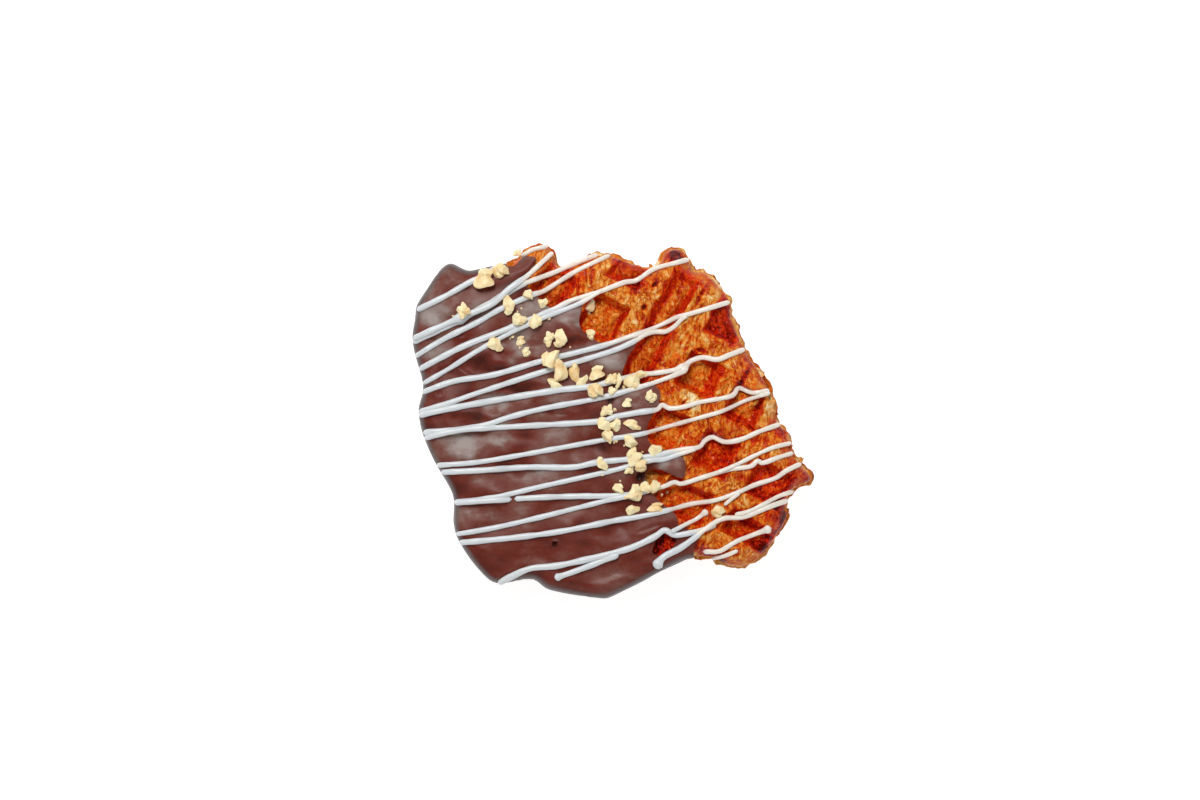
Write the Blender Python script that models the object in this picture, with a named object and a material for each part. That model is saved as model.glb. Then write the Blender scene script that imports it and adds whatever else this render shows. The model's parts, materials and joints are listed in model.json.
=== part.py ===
"""A croffle: croissant dough pressed in a waffle iron, dipped on one side in chocolate.

Two solids lie on one table. The pastry carries the iron's grid of pockets on both faces, and the
chocolate coat wraps its dipped side down to a lip just above the table. White chocolate lines and
chopped nuts are fused to whichever of the two they lie on.

All sizes are in millimetres until the two finished solids are turned into metres, +Z up. The origin
is then under the middle of the croffle, on the table, and +Y points to its far edge.
"""

import math
import random

import bmesh
import bpy
from mathutils import Matrix, Vector, noise
from mathutils.bvhtree import BVHTree

MM = 0.001
GAP = 0.3
BEYOND = 75.0  # further out than anything on the croffle
CENTRE = (0.18, 0.23)  # middle of the finished croffle, which becomes the origin

# The iron's grid, turned on the pastry. A place on it is (s, t), along its columns and its rows.
GRID_TURN = math.radians(-28.0)
GRID_PITCH = 16.8
GRID_PHASE = (-0.7, 7.0)
UNDER_MOUTH = 11.4
UNDER_FLOOR = 8.4
UNDER_DEPTH = 5.0
# Pockets that lie open on top, which the dough pulled out of line: ends along the columns, ends along
# the rows, and depth. The long one runs along the seam of the rolled dough.
OPEN_POCKETS = (
    ((-23.2, -10.9), (19.4, 32.4), 4.2), ((-22.4, -11.4), (37.4, 56.0), 3.6),
    ((-40.0, -28.4), (18.0, 33.4), 3.6), ((-4.6, 4.6), (10.0, 50.0), 3.6),
    ((10.8, 21.9), (36.7, 60.0), 3.6), ((10.7, 22.7), (18.7, 30.1), 4.2),
    ((27.1, 38.3), (17.0, 28.6), 4.0), ((9.6, 20.8), (0.4, 12.1), 4.2),
    ((25.6, 37.5), (0.0, 11.6), 4.2), ((43.6, 56.0), (-0.2, 11.2), 3.2),
    ((9.0, 22.0), (-16.5, -5.4), 4.2), ((22.6, 37.5), (-15.8, -5.2), 4.2),
    ((43.4, 58.6), (-13.6, -5.6), 4.0), ((28.4, 36.8), (-31.0, -21.4), 5.0),
)
POCKET_SLOPE = 0.45  # how far a pocket's wall leans out for each millimetre of its height
POCKET_ABOVE = 2.0  # how far above the ridges the mouths are drawn on

RIDGE_TOP = 20.2
RIDGE_UNEVEN = (9.0, 0.9)  # size of the bumps, and how high they are
CORE_TOP = 19.0
COAT_TOP = 21.2
COAT_DIMPLE = 0.9
COAT_UNEVEN = (14.0, 0.6)
COAT_LIP = 2.0
COAT_WALL = 1.6

# Sides, as rings: height, and how far the ring stands in from the outline. The layers of the bare
# dough swell and part, and those under the chocolate are smooth.
PASTRY_SIDE = ((-1.0, 4.0), (1.2, 2.2), (4.4, 0.6), (6.4, 0.9), (8.4, 0.0), (11.0, 0.7), (13.4, 0.2),
               (16.4, 1.2), (18.8, 3.0), (22.0, 8.5))
LAYER_UNEVEN = (2.5, 0.5)  # steps along the outline for each swelling, and how far it stands out
COAT_SIDE = ((COAT_LIP, 0.9), (4.5, 0.1), (9.0, 0.0), (14.0, 0.3), (17.5, 1.2), (19.8, 2.9), (23.0, 9.0))
CORE_SIDE = ((-2.0, 1.6), (4.0, 0.3), (9.0, 0.0), (14.0, 0.5), (17.0, 1.7), (CORE_TOP, 4.2))

# Outline from above, anticlockwise: first the bare edge, then the dipped edge.
BARE_EDGE = (
    (24, -40.9), (29.5, -41), (35, -43.4), (40, -43.4), (46, -39), (52.4, -29), (52.3, -24),
    (54.5, -20.4), (58.8, -18.4), (59.5, -16), (54.8, -10), (52.9, -3.4), (49.8, 0.2), (48.5, 6),
    (44.8, 14.5), (40.6, 20.5), (36.2, 30.5), (35.4, 36), (31.5, 41.5), (27.5, 44.9), (24.4, 45.2),
    (22.6, 50), (18.9, 52), (15.1, 50.6), (14, 47.6), (10, 46.3), (-1, 50), (-7, 48.9),
    (-15.2, 46), (-16.8, 50), (-20.5, 53), (-26, 51),
)
DIPPED_EDGE = (
    (-29, 48.3), (-42, 45.2), (-49.5, 46.8), (-57.3, 36.3), (-58.7, 31), (-59.4, 23), (-56.4, 10.5),
    (-57.8, 2.3), (-54.3, -9.5), (-47.7, -21.5), (-47.2, -31), (-45, -37), (-38.7, -45.4),
    (-33.5, -48.3), (-24, -47), (-18, -50.3), (-4.3, -52.7), (2, -51.2), (19, -42.5),
)
OUTLINE_STEP = 4.0
OUTLINE_EVEN = 3  # steps each way over which the outward direction is evened out

# Where the chocolate ends on top of the pastry, from the far edge to the near edge.
DIP_LINE = (
    (-33.5, 52), (-31.6, 46.8), (-29, 46.4), (-26.3, 48.9), (-22.6, 48.6), (-24.3, 45), (-26.4, 42),
    (-22.8, 38), (-18.6, 34), (-14, 34.6), (-8.8, 36), (-9.8, 29), (-6, 24.9), (-1.5, 23.2),
    (7.2, 24.2), (4.4, 18.5), (2.8, 12.5), (5.5, 9.2), (11, 11), (14.2, 9), (13.5, 4.6),
    (10.4, -1.5), (12, -7), (20.8, -10.2), (21, -16.6), (14, -14.2), (9.7, -15.5), (12.5, -22),
    (18.7, -27.5), (20, -31), (25.6, -33.3), (24.2, -38.5), (24.6, -47),
)
DIP_STEP = 3.0
KNOT_PARTS = 12  # parts of a smooth curve between two of its points, before it is spaced evenly
# The chocolate never closed over the pocket here: middle, half width, half length, and sides.
COAT_HOLE = (15.6, -36.2)
HOLE_HALF = (2.1, 3.3)
HOLE_SIDES = 10

# White chocolate lines: start, end, and how far the line bows to its left at 1/3 and 2/3 of it.
STROKES = (
    ((-58.0, 33.2), (-35.5, 46.2), -0.1, 0.3),
    ((-58.3, 25.4), (-17.6, 49.9), -1.0, -1.4),
    ((-58.5, 22.8), (-1.5, 49.6), 0.9, -0.3),
    ((-58.6, 18.6), (-4.0, 48.4), -1.0, -1.0),
    ((-57.8, 15.0), (22.8, 48.7), 0.6, 1.6),
    ((-56.3, 11.0), (-3.5, 39.0), -0.2, -1.6),
    ((-56.2, 9.4), (34.6, 35.4), -2.2, -1.6),
    ((-57.2, 3.2), (21.0, 30.4), 0.4, 0.2),
    ((-57.2, 2.0), (40.0, 21.8), -1.4, -2.9),
    ((-56.2, -3.6), (22.0, 16.8), -1.1, -0.4),
    ((-56.0, -5.4), (46.0, 9.8), -1.1, -2.0),
    ((-52.0, -13.0), (47.6, 9.0), -3.2, -3.6),
    ((-51.0, -15.0), (50.0, -0.8), -2.6, -4.5),
    ((-47.2, -23.6), (23.0, -9.2), -2.0, -1.0),
    ((-47.2, -24.2), (53.0, -6.9), -4.6, -5.0),
    ((32.5, -15.6), (53.6, -9.4), -0.4, 0.2),
    ((-46.6, -33.6), (8.0, -21.0), -1.0, -0.2),
    ((-46.0, -36.1), (56.2, -12.6), -4.9, -4.1),
    ((-33.6, -47.6), (28.4, -26.2), 0.8, -1.0),
    ((-17.0, -46.6), (33.0, -29.2), 1.7, 1.4),
    ((12.8, -43.8), (52.6, -23.8), 2.6, 3.0),
    ((36.5, -27.8), (55.6, -19.6), -0.4, -0.3),
    ((29.0, -38.6), (47.6, -32.0), -1.0, -0.3),
)
STROKE_RADIUS = 1.1
STROKE_UNEVEN = (0.92, 1.0, 1.06, 0.96, 1.1)  # thickness of one line after another
STROKE_STEP = 2.8
STROKE_SINK = 0.25
STROKE_DROP = 8.5  # a line that would fall further than this off the edge ends there
STROKE_TAUT = 4  # how often a line is evened out, so that it bridges what is narrow
STROKE_BEND = 0.3  # bends smaller than this are left out

# Chopped nuts: where each one lies, and its size across.
NUTS = (
    (-38.5, 43.0, 6.0), (-33.2, 44.0, 4.8), (-44.5, 32.7, 3.8), (-31.0, 34.5, 4.5),
    (-27.8, 30.5, 4.2), (-22.8, 29.5, 4.0), (-34.3, 22.8, 4.2), (-19.2, 24.8, 3.6),
    (-15.4, 24.6, 4.8), (-18.8, 19.2, 5.5), (-15.0, 15.2, 5.2), (-11.0, 14.2, 4.6),
    (-17.6, 10.9, 3.6), (-4.8, 14.5, 4.8), (-0.8, 12.6, 4.0), (-4.6, 8.6, 4.8),
    (7.0, 13.0, 4.2), (11.0, 7.6, 3.6), (-1.8, 4.4, 3.8), (-2.3, 0.2, 5.6), (-0.4, -4.6, 4.6),
    (6.6, -0.7, 4.4), (5.3, -5.7, 3.8), (16.0, -5.6, 3.6), (6.0, -10.0, 4.8), (10.4, -11.4, 4.2),
    (-2.7, -12.5, 3.6), (2.2, -20.0, 3.5), (7.0, -20.6, 5.2), (15.2, -18.6, 4.0),
    (5.8, -26.0, 3.8), (12.2, -25.6, 4.0), (31.5, -26.8, 4.0), (-5.4, 34.0, 4.0), (-3.2, 27.2, 3.4),
)
NUT_LONG = (0.95, 1.15)  # length, width and height of a chip for its size
NUT_WIDE = (0.7, 0.9)
NUT_HIGH = 0.7
NUT_KNOBS = 0.35
NUT_TILT = 0.4
NUT_SINK = 0.22
NUT_FLAT = math.radians(14)  # neighbouring faces closer than this are one broken face
NUT_SEED = 7

SHARP = math.radians(35)
PASTRY_COLOUR = (0.60, 0.21, 0.04, 1.0)
CHOCOLATE_COLOUR = (0.13, 0.035, 0.022, 1.0)


def from_grid(s, t):
    """Return the point seen from above of a place on the iron's grid."""
    along, across = math.cos(GRID_TURN), math.sin(GRID_TURN)
    return s * along - t * across, s * across + t * along


def even_points(controls, step, closed):
    """Return points about a step apart along a smooth curve through the control points."""
    knots = [Vector(point) for point in controls]
    knots = knots[-1:] + knots + knots[:2] if closed else knots[:1] + knots + knots[-1:]
    fine = []
    for a, b, c, d in zip(knots, knots[1:], knots[2:], knots[3:]):
        for u in (k / KNOT_PARTS for k in range(KNOT_PARTS)):
            bend = (2 * a - 5 * b + 4 * c - d) * u ** 2 + (3 * b - a - 3 * c + d) * u ** 3
            fine.append(b + ((c - a) * u + bend) / 2)
    fine.append(knots[-2])
    reach = [0.0]
    for a, b in zip(fine, fine[1:]):
        reach.append(reach[-1] + (b - a).length)
    pieces = round(reach[-1] / step)
    evenly, k = [], 0
    for i in range(pieces if closed else pieces + 1):
        goal = reach[-1] * i / pieces
        while k < len(reach) - 2 and reach[k + 1] < goal:
            k += 1
        evenly.append(fine[k].lerp(fine[k + 1], (goal - reach[k]) / (reach[k + 1] - reach[k])))
    return evenly


def outward(loop):
    """Return the outward direction at each point of an anticlockwise loop, evened out."""
    ahead = loop[OUTLINE_EVEN:] + loop[:OUTLINE_EVEN]
    behind = loop[-OUTLINE_EVEN:] + loop[:-OUTLINE_EVEN]
    return [Vector((a.y - b.y, b.x - a.x)).normalized() for a, b in zip(ahead, behind)]


def dipped_loop(grow):
    """Return the dipped side seen from above, its inner border moved out by grow."""
    along = [b - a for a, b in zip(DIP_CURVE[:1] + DIP_CURVE, DIP_CURVE[1:] + DIP_CURVE[-1:])]
    border = [point + Vector((-way.y, way.x)).normalized() * grow for point, way in zip(DIP_CURVE, along)]
    far = [Vector((border[0].x, BEYOND)), Vector((-BEYOND, BEYOND))]
    near = [Vector((-BEYOND, -BEYOND)), Vector((border[-1].x, -BEYOND))]
    return border[::-1] + far + near


def inside(loop, point):
    """Tell whether a point seen from above lies inside a loop."""
    hit = False
    for a, b in zip(loop, loop[1:] + loop[:1]):
        if (a.y > point.y) != (b.y > point.y):
            hit ^= point.x < a.x + (point.y - a.y) * (b.x - a.x) / (b.y - a.y)
    return hit


def from_dip_line(point):
    """Return how far a point seen from above is from where the chocolate ends."""
    nearest = BEYOND
    for a, b in zip(DIP_CURVE, DIP_CURVE[1:]):
        way = b - a
        share = min(max((point - a).dot(way) / way.length_squared, 0.0), 1.0)
        nearest = min(nearest, (point - a - way * share).length)
    return nearest


OUTLINE = even_points(BARE_EDGE + DIPPED_EDGE, OUTLINE_STEP, closed=True)
DIP_CURVE = even_points(DIP_LINE, DIP_STEP, closed=False)
DIPPED = dipped_loop(0.0)


def from_middle(s, t):
    """Return a place measured from the middle of the iron's nearest square."""
    ds, dt = s - GRID_PHASE[0], t - GRID_PHASE[1]
    return ds - round(ds / GRID_PITCH) * GRID_PITCH, dt - round(dt / GRID_PITCH) * GRID_PITCH


def uneven(s, t, size, amount):
    """Return a gentle unevenness with bumps of the given size."""
    return amount * noise.noise(Vector((s / size, t / size, 3.7)))


def pastry_top(s, t):
    """Return the height of the ridges, into which the pockets are pressed."""
    return RIDGE_TOP + uneven(s, t, *RIDGE_UNEVEN)


def pastry_bottom(s, t):
    """Return the height of the waffled underside, whose ridges lie flat on the table."""
    within = UNDER_MOUTH / 2 - max(map(abs, from_middle(s, t)))
    return UNDER_DEPTH * min(max(2 * within / (UNDER_MOUTH - UNDER_FLOOR), 0.0), 1.0)


def coat_top(s, t):
    """Return the height of the chocolate, which dips a little over each filled pocket."""
    ds, dt = from_middle(s, t)
    turn = 2 * math.pi / GRID_PITCH
    dip = (1 + math.cos(turn * ds)) * (1 + math.cos(turn * dt)) / 4
    return COAT_TOP - COAT_DIMPLE * dip + uneven(s, t, *COAT_UNEVEN)


def coat_bottom(s, t):
    """Return the height of the chocolate's lip above the table."""
    return COAT_LIP


WAFFLE_LINES = (-UNDER_MOUTH / 2, -UNDER_FLOOR / 2, UNDER_FLOOR / 2, UNDER_MOUTH / 2, GRID_PITCH / 2)
COAT_LINES = (-GRID_PITCH / 3, 0.0, GRID_PITCH / 3)


def new_collection(name):
    """Make a collection in the scene."""
    collection = bpy.data.collections.new(name)
    bpy.context.scene.collection.children.link(collection)
    return collection


def mesh_object(name, bm, collection):
    """Make an object of a bmesh."""
    mesh = bpy.data.meshes.new(name)
    bm.to_mesh(mesh)
    bm.free()
    obj = bpy.data.objects.new(name, mesh)
    collection.objects.link(obj)
    return obj


def pressed_block(name, lines, top, bottom, collection):
    """Make a block cut along the iron's lines, its top and bottom pressed to the given heights."""
    bm = bmesh.new()
    bmesh.ops.create_cube(bm, size=2 * BEYOND)
    reach = int(BEYOND / GRID_PITCH)
    for axis, phase in zip((Vector((1, 0, 0)), Vector((0, 1, 0))), GRID_PHASE):
        for number in range(-reach, reach + 1):
            for line in lines:
                everything = bm.verts[:] + bm.edges[:] + bm.faces[:]
                place = axis * (phase + number * GRID_PITCH + line)
                bmesh.ops.bisect_plane(bm, geom=everything, dist=1e-3, plane_co=place, plane_no=axis)
    for vertex in bm.verts:
        s, t, z = vertex.co
        vertex.co = (*from_grid(s, t), top(s, t) if z > 0 else bottom(s, t))
    bmesh.ops.triangulate(bm, faces=bm.faces[:])
    return mesh_object(name, bm, collection)


def add_loft(bm, rings):
    """Add a closed body through rings of points, from the lowest to the highest."""
    loops = [[bm.verts.new(point) for point in ring] for ring in rings]
    for below, above in zip(loops, loops[1:]):
        for a, b, c, d in zip(below, below[1:] + below[:1], above[1:] + above[:1], above):
            bm.faces.new((a, b, c, d))
    bm.faces.new(loops[0][::-1])
    bm.faces.new(loops[-1])


def cushion(name, side, inset, raised, collection, layers=(1.0, 0.0)):
    """Make a closed loft of rings that follow the outline, each layer swelling a little."""
    rings = []
    for level, (z, ring_inset) in enumerate(side):
        rings.append([])
        for i, (point, way) in enumerate(zip(OUTLINE, outward(OUTLINE))):
            swell = layers[1] * noise.noise(Vector((i / layers[0], level * 1.7, 0.4)))
            place = point - way * (inset + ring_inset + swell)
            rings[-1].append((place.x, place.y, z + raised))
    bm = bmesh.new()
    add_loft(bm, rings)
    return mesh_object(name, bm, collection)


def mesh_of_curve(name, curve, height, collection):
    """Make a closed mesh object of a curve at a height, and remove the curve."""
    guide = bpy.data.objects.new(name, curve)
    guide.location.z = height
    collection.objects.link(guide)
    bpy.context.view_layer.update()
    mesh = bpy.data.meshes.new_from_object(guide.evaluated_get(bpy.context.evaluated_depsgraph_get()))
    bm = bmesh.new()
    bm.from_mesh(mesh)
    bmesh.ops.remove_doubles(bm, verts=bm.verts, dist=1e-4)
    bmesh.ops.recalc_face_normals(bm, faces=bm.faces)
    obj = mesh_object(name, bm, collection)
    obj.matrix_world = guide.matrix_world
    bpy.data.objects.remove(guide)
    return obj


def new_curve(name, points, dimensions):
    """Make a curve of straight runs through 3-D points."""
    curve = bpy.data.curves.new(name, "CURVE")
    curve.dimensions = dimensions
    spline = curve.splines.new("POLY")
    spline.points.add(len(points) - 1)
    for target, point in zip(spline.points, points):
        target.co = (*point, 1.0)
    return curve


def prism(name, loop, low, high, collection):
    """Make a straight-sided solid on a flat loop."""
    curve = new_curve(name, [point.to_3d() for point in loop], "2D")
    curve.splines[0].use_cyclic_u = True
    curve.fill_mode = "BOTH"
    curve.extrude = (high - low) / 2
    return mesh_of_curve(name, curve, (high + low) / 2, collection)


def apply_boolean(target, operation, other, solver="EXACT"):
    """Cut or join a solid with an object or a collection, and keep the result as its mesh."""
    modifier = target.modifiers.new(operation, "BOOLEAN")
    modifier.operation = operation
    modifier.solver = solver
    if isinstance(other, bpy.types.Collection):
        modifier.operand_type = "COLLECTION"
        modifier.collection = other
    else:
        modifier.object = other
    bpy.context.view_layer.update()
    evaluated = target.evaluated_get(bpy.context.evaluated_depsgraph_get())
    mesh = bpy.data.meshes.new_from_object(evaluated)
    target.modifiers.clear()
    target.data = mesh


def pocket_rings(ends, sides, depth):
    """Return the floor and the mouth of an open pocket, the mouth drawn on up above the ridges."""
    rings = []
    for z in (RIDGE_TOP - depth, RIDGE_TOP + POCKET_ABOVE):
        inset = POCKET_SLOPE * (RIDGE_TOP - z)
        left, right = ends[0] + inset, ends[1] - inset
        near, far = sides[0] + inset, sides[1] - inset
        corners = ((left, near), (right, near), (right, far), (left, far))
        rings.append([(*from_grid(s, t), z) for s, t in corners])
    return rings


def press_pockets(pastry, covered, cutters):
    """Press the open pockets in up to the chocolate's border, and the one that shows through it whole."""
    on_bare, in_hole = bmesh.new(), bmesh.new()
    for ends, sides, depth in OPEN_POCKETS:
        middle = Vector(from_grid(sum(ends) / 2, sum(sides) / 2))
        add_loft(in_hole if inside(DIPPED, middle) else on_bare, pocket_rings(ends, sides, depth))
    bare = mesh_object("bare_pockets", on_bare, cutters)
    apply_boolean(bare, "DIFFERENCE", covered)
    apply_boolean(pastry, "DIFFERENCE", bare)
    apply_boolean(pastry, "DIFFERENCE", mesh_object("hole_pocket", in_hole, cutters))


def build_pastry(collection, cutters):
    """Build the pastry: waffled on both faces, and set in where the chocolate covers it."""
    pastry = pressed_block("pastry", WAFFLE_LINES, pastry_top, pastry_bottom, collection)
    form = cushion("pastry_form", PASTRY_SIDE, 0.0, 0.0, cutters, LAYER_UNEVEN)
    apply_boolean(pastry, "INTERSECT", form)
    covered = prism("covered", dipped_loop(GAP), -BEYOND, BEYOND, cutters)
    press_pockets(pastry, covered, cutters)
    apply_boolean(covered, "DIFFERENCE", cushion("core", CORE_SIDE, COAT_WALL + GAP, 0.0, cutters))
    apply_boolean(pastry, "DIFFERENCE", covered)
    return pastry


def build_coat(collection, cutters):
    """Build the chocolate: a shell on the dipped side, open underneath and over one pocket."""
    coat = pressed_block("chocolate_coat", COAT_LINES, coat_top, coat_bottom, collection)
    apply_boolean(coat, "INTERSECT", cushion("coat_form", COAT_SIDE, 0.0, 0.0, cutters))
    apply_boolean(coat, "INTERSECT", prism("dipped_side", DIPPED, -BEYOND, BEYOND, cutters))
    apply_boolean(coat, "DIFFERENCE", cushion("coat_room", CORE_SIDE, COAT_WALL, GAP, cutters))
    turns = [2 * math.pi * k / HOLE_SIDES for k in range(HOLE_SIDES)]
    rim = [Vector((HOLE_HALF[0] * math.cos(a), HOLE_HALF[1] * math.sin(a))) for a in turns]
    hole = prism("open_pocket", [Vector(COAT_HOLE) + point for point in rim], 0.0, BEYOND, cutters)
    apply_boolean(coat, "DIFFERENCE", hole)
    return coat


def surface_of(obj):
    """Return a search tree of an object's faces."""
    bm = bmesh.new()
    bm.from_mesh(obj.data)
    tree = BVHTree.FromBMesh(bm)
    bm.free()
    return tree


def height_on(surface, point):
    """Return the height of a surface at a point seen from above, and 0 beside it."""
    hit = surface.ray_cast(Vector((point.x, point.y, BEYOND)), Vector((0, 0, -1)))[0]
    return hit.z if hit else 0.0


def stroke_line(start, end, first_bow, second_bow):
    """Return points along a white line seen from above, bowed off straight."""
    start, end = Vector(start), Vector(end)
    left = Vector((start.y - end.y, end.x - start.x)).normalized()
    pieces = round((end - start).length / STROKE_STEP)
    line = []
    for u in (k / pieces for k in range(pieces + 1)):
        bow = 4.5 * u * (1 - u) * (first_bow * (2 - 3 * u) + second_bow * (3 * u - 1))
        line.append(start.lerp(end, u) + left * bow)
    return line


def runs_on(surface, line, dipped):
    """Split a line into the stretches that lie on one solid, clear of the other one's border."""
    runs = [[]]
    for point in line:
        clear = from_dip_line(point) > STROKE_RADIUS + 2 * GAP
        held = height_on(surface, point) > COAT_TOP - STROKE_DROP
        if clear and held and inside(DIPPED, point) == dipped:
            runs[-1].append(point)
        elif runs[-1]:
            runs.append([])
    return [run for run in runs if len(run) > 1]


def drape(surface, line):
    """Lay a line on a surface, where it bridges what is too narrow for it to fall into."""
    floor = [height_on(surface, point) for point in line]
    heights = floor
    for _ in range(STROKE_TAUT):
        beside = zip(heights[:1] + heights, heights, heights[1:] + heights[-1:])
        heights = [max(low, sum(three) / 3) for low, three in zip(floor, beside)]
    return [Vector((point.x, point.y, z + STROKE_SINK)) for point, z in zip(line, heights)]


def thinned(points, bend):
    """Leave out the points that a straight run passes closer than a bend."""
    way = (points[-1] - points[0]).normalized()
    away = [way.cross(point - points[0]).length for point in points]
    worst = away.index(max(away))
    if away[worst] < bend:
        return [points[0], points[-1]]
    return thinned(points[:worst + 1], bend)[:-1] + thinned(points[worst:], bend)


def add_strokes(surface, dipped, collection):
    """Add the white chocolate lines on one solid, as tubes sunk a little into it."""
    for number, stroke in enumerate(STROKES):
        for run in runs_on(surface, stroke_line(*stroke), dipped):
            curve = new_curve("stroke", thinned(drape(surface, run), STROKE_BEND), "3D")
            curve.bevel_depth = STROKE_RADIUS * STROKE_UNEVEN[number % len(STROKE_UNEVEN)]
            curve.bevel_resolution = 1
            curve.use_fill_caps = True
            mesh_of_curve("stroke", curve, 0.0, collection)


def add_nuts(surface, dipped, collection):
    """Add the chopped nuts on one solid: chips with broken faces, sunk a little into it."""
    chance = random.Random(NUT_SEED)
    for x, y, size in NUTS:
        tilt = Matrix.Rotation(chance.uniform(-NUT_TILT, NUT_TILT), 3, "X")
        turn = Matrix.Rotation(chance.uniform(0, math.pi), 3, "Z") @ tilt
        shape = turn @ Matrix.Diagonal((chance.uniform(*NUT_LONG), chance.uniform(*NUT_WIDE), NUT_HIGH))
        knobs = Vector((chance.uniform(0, BEYOND), 0, 0))
        middle = Vector((x, y))
        if inside(DIPPED, middle) != dipped or from_dip_line(middle) < size / 2 + GAP:
            continue
        middle = middle.to_3d()
        middle.z = height_on(surface, middle) + size * (NUT_HIGH / 2 - NUT_SINK)
        bm = bmesh.new()
        bmesh.ops.create_icosphere(bm, subdivisions=1, radius=size / 2)
        for vertex in bm.verts:
            knob = 1 + NUT_KNOBS * noise.noise(vertex.co / 2 + knobs)
            vertex.co = shape @ (vertex.co * knob) + middle
        bmesh.ops.dissolve_limit(bm, angle_limit=NUT_FLAT, verts=bm.verts, edges=bm.edges)
        bmesh.ops.triangulate(bm, faces=bm.faces[:])
        mesh_object("nut", bm, collection)


def fuse_toppings(base, dipped):
    """Join the lines and nuts that lie on a solid to it."""
    toppings = new_collection("toppings")
    surface = surface_of(base)
    add_strokes(surface, dipped, toppings)
    add_nuts(surface, dipped, toppings)
    apply_boolean(base, "UNION", toppings, solver="MANIFOLD")
    for obj in list(toppings.objects):
        bpy.data.objects.remove(obj)


def finish(obj, name, colour, roughness):
    """Bring a solid to metres and its place, with its material, smooth where it is round."""
    obj.data.transform(Matrix.Scale(MM, 4) @ Matrix.Translation((-CENTRE[0], -CENTRE[1], 0)))
    material = bpy.data.materials.new(name)
    material.use_nodes = True
    shader = material.node_tree.nodes["Principled BSDF"]
    shader.inputs["Base Color"].default_value = colour
    shader.inputs["Roughness"].default_value = roughness
    shader.inputs["Metallic"].default_value = 0.0
    obj.data.materials.clear()
    obj.data.materials.append(material)
    obj.data.shade_smooth()
    obj.data.set_sharp_from_angle(angle=SHARP)


def main():
    """Build the pastry and its coat of chocolate."""
    for obj in list(bpy.data.objects):
        bpy.data.objects.remove(obj, do_unlink=True)
    croffle = new_collection("croffle")
    cutters = new_collection("cutters")
    pastry = build_pastry(croffle, cutters)
    coat = build_coat(croffle, cutters)
    for cutter in list(cutters.objects):
        bpy.data.objects.remove(cutter)
    fuse_toppings(pastry, dipped=False)
    fuse_toppings(coat, dipped=True)
    finish(pastry, "baked pastry", PASTRY_COLOUR, 0.45)
    finish(coat, "dark chocolate", CHOCOLATE_COLOUR, 0.35)


main()
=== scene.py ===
"""Looks of a croffle: croissant dough pressed in a waffle iron and dipped on one side in chocolate.

The crust and the chocolate are height fields over the plan, cut to their outline, and stand for the
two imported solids. White chocolate lines, chopped nuts and loose flakes are laid on them in the order
in which they come in the kitchen, so that each one rests on what is already there.

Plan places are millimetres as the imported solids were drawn, with +Y away from the viewer. They become
metres in the shared frame where a mesh is made.
"""

from __future__ import annotations

import json
import logging
import math
import sys
from dataclasses import dataclass, field
from enum import Enum
from typing import Callable, Iterable, Sequence

import bmesh
import bpy
import numpy as np
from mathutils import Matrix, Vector
from mathutils.bvhtree import BVHTree

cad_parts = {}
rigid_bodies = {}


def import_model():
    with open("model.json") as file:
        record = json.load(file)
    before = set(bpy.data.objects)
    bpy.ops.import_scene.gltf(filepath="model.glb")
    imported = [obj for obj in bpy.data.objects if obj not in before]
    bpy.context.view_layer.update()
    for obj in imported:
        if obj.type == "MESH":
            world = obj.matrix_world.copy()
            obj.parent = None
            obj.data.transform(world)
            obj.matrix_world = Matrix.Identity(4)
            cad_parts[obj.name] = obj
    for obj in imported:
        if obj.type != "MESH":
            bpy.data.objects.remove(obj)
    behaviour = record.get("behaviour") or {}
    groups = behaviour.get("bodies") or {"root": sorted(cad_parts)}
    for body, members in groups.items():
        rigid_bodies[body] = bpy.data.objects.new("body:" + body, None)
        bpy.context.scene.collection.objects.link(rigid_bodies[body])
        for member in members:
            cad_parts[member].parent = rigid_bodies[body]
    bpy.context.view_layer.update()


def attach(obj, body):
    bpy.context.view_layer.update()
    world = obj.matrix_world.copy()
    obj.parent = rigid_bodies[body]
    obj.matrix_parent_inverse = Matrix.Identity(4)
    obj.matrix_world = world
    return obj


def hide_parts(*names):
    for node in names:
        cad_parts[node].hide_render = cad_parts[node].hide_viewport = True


LOG = logging.getLogger("croffle")
Array = np.ndarray
Object = bpy.types.Object
Tree = bpy.types.NodeTree
Socket = bpy.types.NodeSocket
Material = bpy.types.Material
Points = Sequence[Sequence[float]]
Heights = Callable[[Array, Array], Array]

# The plan's millimetres in metres, and the plan place that is the origin of the shared frame.
MM = 0.001
MIDDLE = (0.18, 0.23)
# A distance in plan millimetres that is past every edge of the croffle.
BEYOND = 75.0
BODY = "root"

# Kinds of node that come up more than once.
PLACE = "ShaderNodeTexCoord"
MAPPING = "ShaderNodeMapping"
STORED = "ShaderNodeAttribute"
NOISE = "ShaderNodeTexNoise"
MATH = "ShaderNodeMath"
VECTOR = "ShaderNodeVectorMath"
RANGE = "ShaderNodeMapRange"
RAMP = "ShaderNodeValToRGB"
MIX = "ShaderNodeMix"
BUMP = "ShaderNodeBump"
NAMED = "GeometryNodeInputNamedAttribute"
SMOOTH = {"interpolation_type": "SMOOTHSTEP"}


class Ground(Enum):
    """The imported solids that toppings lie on."""

    PASTRY = "pastry"
    CHOCOLATE = "chocolate_coat"


class Slot(Enum):
    """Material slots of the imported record."""

    CRUST = "baked_pastry"
    CHOCOLATE = "dark_chocolate"
    WHITE = "white_chocolate"
    NUT = "chopped_nut"


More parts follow.
